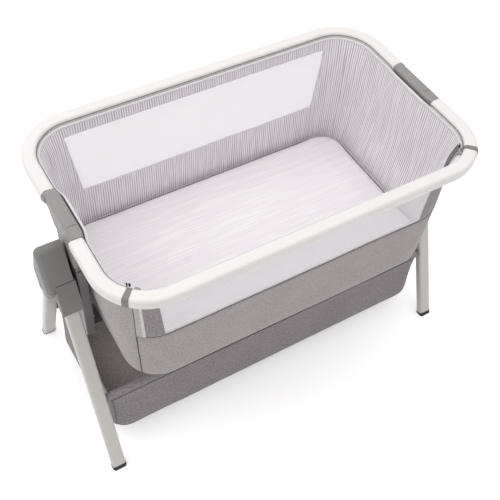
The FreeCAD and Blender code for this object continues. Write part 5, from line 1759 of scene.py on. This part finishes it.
# ------------------------------------------------------------------ studio
@dataclass
class Studio:
    """The pale floor, the soft light and the camera."""

    eye: tuple[float, float, float] = (-0.7446056, -1.0938656, 1.9664651)
    forward: tuple[float, float, float] = (0.35691929, 0.51608618, -0.77862936)
    upward: tuple[float, float, float] = (0.36734144, 0.68883318, 0.62495529)
    rightward: tuple[float, float, float] = (0.85887653, -0.50908143, 0.05627801)
    lens: float = 59.04
    whiteness: float = 0.4
    sky_low: float = 0.32
    sky_high: float = 1.14
    sensor: float = 36.0
    reach: float = 7.0
    aim: tuple[float, float, float] = (0.0, 0.0, 0.4)
    lamps: tuple[tuple, ...] = (("key", (-2.2, 0.9, 3.2), 2.6, 24.0),
                                ("top", (0.4, 0.3, 3.8), 3.2, 16.0))

    def floor(self) -> None:
        """A wide white floor that keeps the crib's shadow."""
        shader = Shader("studio_floor")
        cloudy = shader.grain(shader.where(), 2.0, 2.0)
        shader.surface(base_color=shader.blend(cloudy * 0.2, (0.94, 0.94, 0.94),
                                               (0.92, 0.92, 0.92)),
                       roughness=0.9, specular_ior_level=0.1, emission_strength=1.0,
                       emission_color=shader.blend(shader.seen(), (0.0, 0.0, 0.0),
                                                   (self.whiteness,) * 3))
        mesh = bpy.data.meshes.new("studio_floor")
        corners = [(x * self.reach, y * self.reach, 0) for x, y in CORNERS]
        mesh.from_pydata(corners, [], [(0, 1, 2, 3)])
        mesh.materials.append(shader.material)
        placed("studio_floor", mesh)

    def sky(self) -> None:
        """Even light from all round, which shows as white to the camera and in reflections."""
        world = bpy.data.worlds.new("studio")
        bpy.context.scene.world = world
        world.use_nodes = True
        nodes = Nodes(world.node_tree)
        around = nodes.node("ShaderNodeTexCoord").outputs["Generated"]
        apart = nodes.node("ShaderNodeSeparateXYZ", None, {0: around})
        higher = nodes.node("ShaderNodeMapRange", None,
                            {"Value": apart.outputs["Z"], "To Min": self.sky_low,
                             "To Max": self.sky_high})
        lit = nodes.node("ShaderNodeBackground", None,
                         {"Color": (1.0, 0.985, 1.0), "Strength": higher.outputs["Result"]})
        white = nodes.node("ShaderNodeBackground", None, {"Color": (1.0, 1.0, 1.0)})
        mixed = nodes.node("ShaderNodeMixShader", None,
                           {0: nodes.seen(), 1: lit.outputs[0], 2: white.outputs[0]})
        nodes.node("ShaderNodeOutputWorld", None, {"Surface": mixed.outputs[0]})

    def lamp(self, name: str, place: tuple[float, float, float], size: float,
             power: float) -> None:
        """One large soft lamp that faces the crib."""
        data = bpy.data.lights.new(name, "AREA")
        data.shape = "DISK"
        data.size, data.energy = size, power
        lamp = placed(name, data)
        lamp.location = place
        facing = Vector(self.aim) - Vector(place)
        lamp.rotation_euler = facing.to_track_quat("-Z", "Y").to_euler()

    def camera(self) -> None:
        """The photograph's view."""
        data = bpy.data.cameras.new("camera")
        data.lens, data.sensor_width, data.sensor_fit = self.lens, self.sensor, "HORIZONTAL"
        data.clip_end = 50.0
        camera = placed("camera", data)
        turned = Matrix((self.rightward, self.upward,
                         tuple(-c for c in self.forward))).transposed()
        camera.matrix_world = Matrix.Translation(self.eye) @ turned.to_4x4()
        bpy.context.scene.camera = camera

    def build(self) -> None:
        """Set up the studio."""
        bpy.context.scene.view_settings.view_transform = "Standard"
        self.camera()
        self.floor()
        self.sky()
        for lamp in self.lamps:
            self.lamp(*lamp)


def main() -> None:
    """Build the studio and every sub-assembly."""
    logging.basicConfig(level=logging.INFO, format="%(name)s: %(message)s")
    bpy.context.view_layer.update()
    Studio().build()
    looks = Palette().dressed()
    trims = Trims(looks)
    builders: tuple[Callable[[], None], ...] = (
        HardParts(looks).build, Fittings(looks, trims).build, Tub(looks, trims).build,
        Basket(looks, trims).build, Mattress(looks, trims).build)
    for build in builders:
        build()


if __name__ == "__main__":
    main()
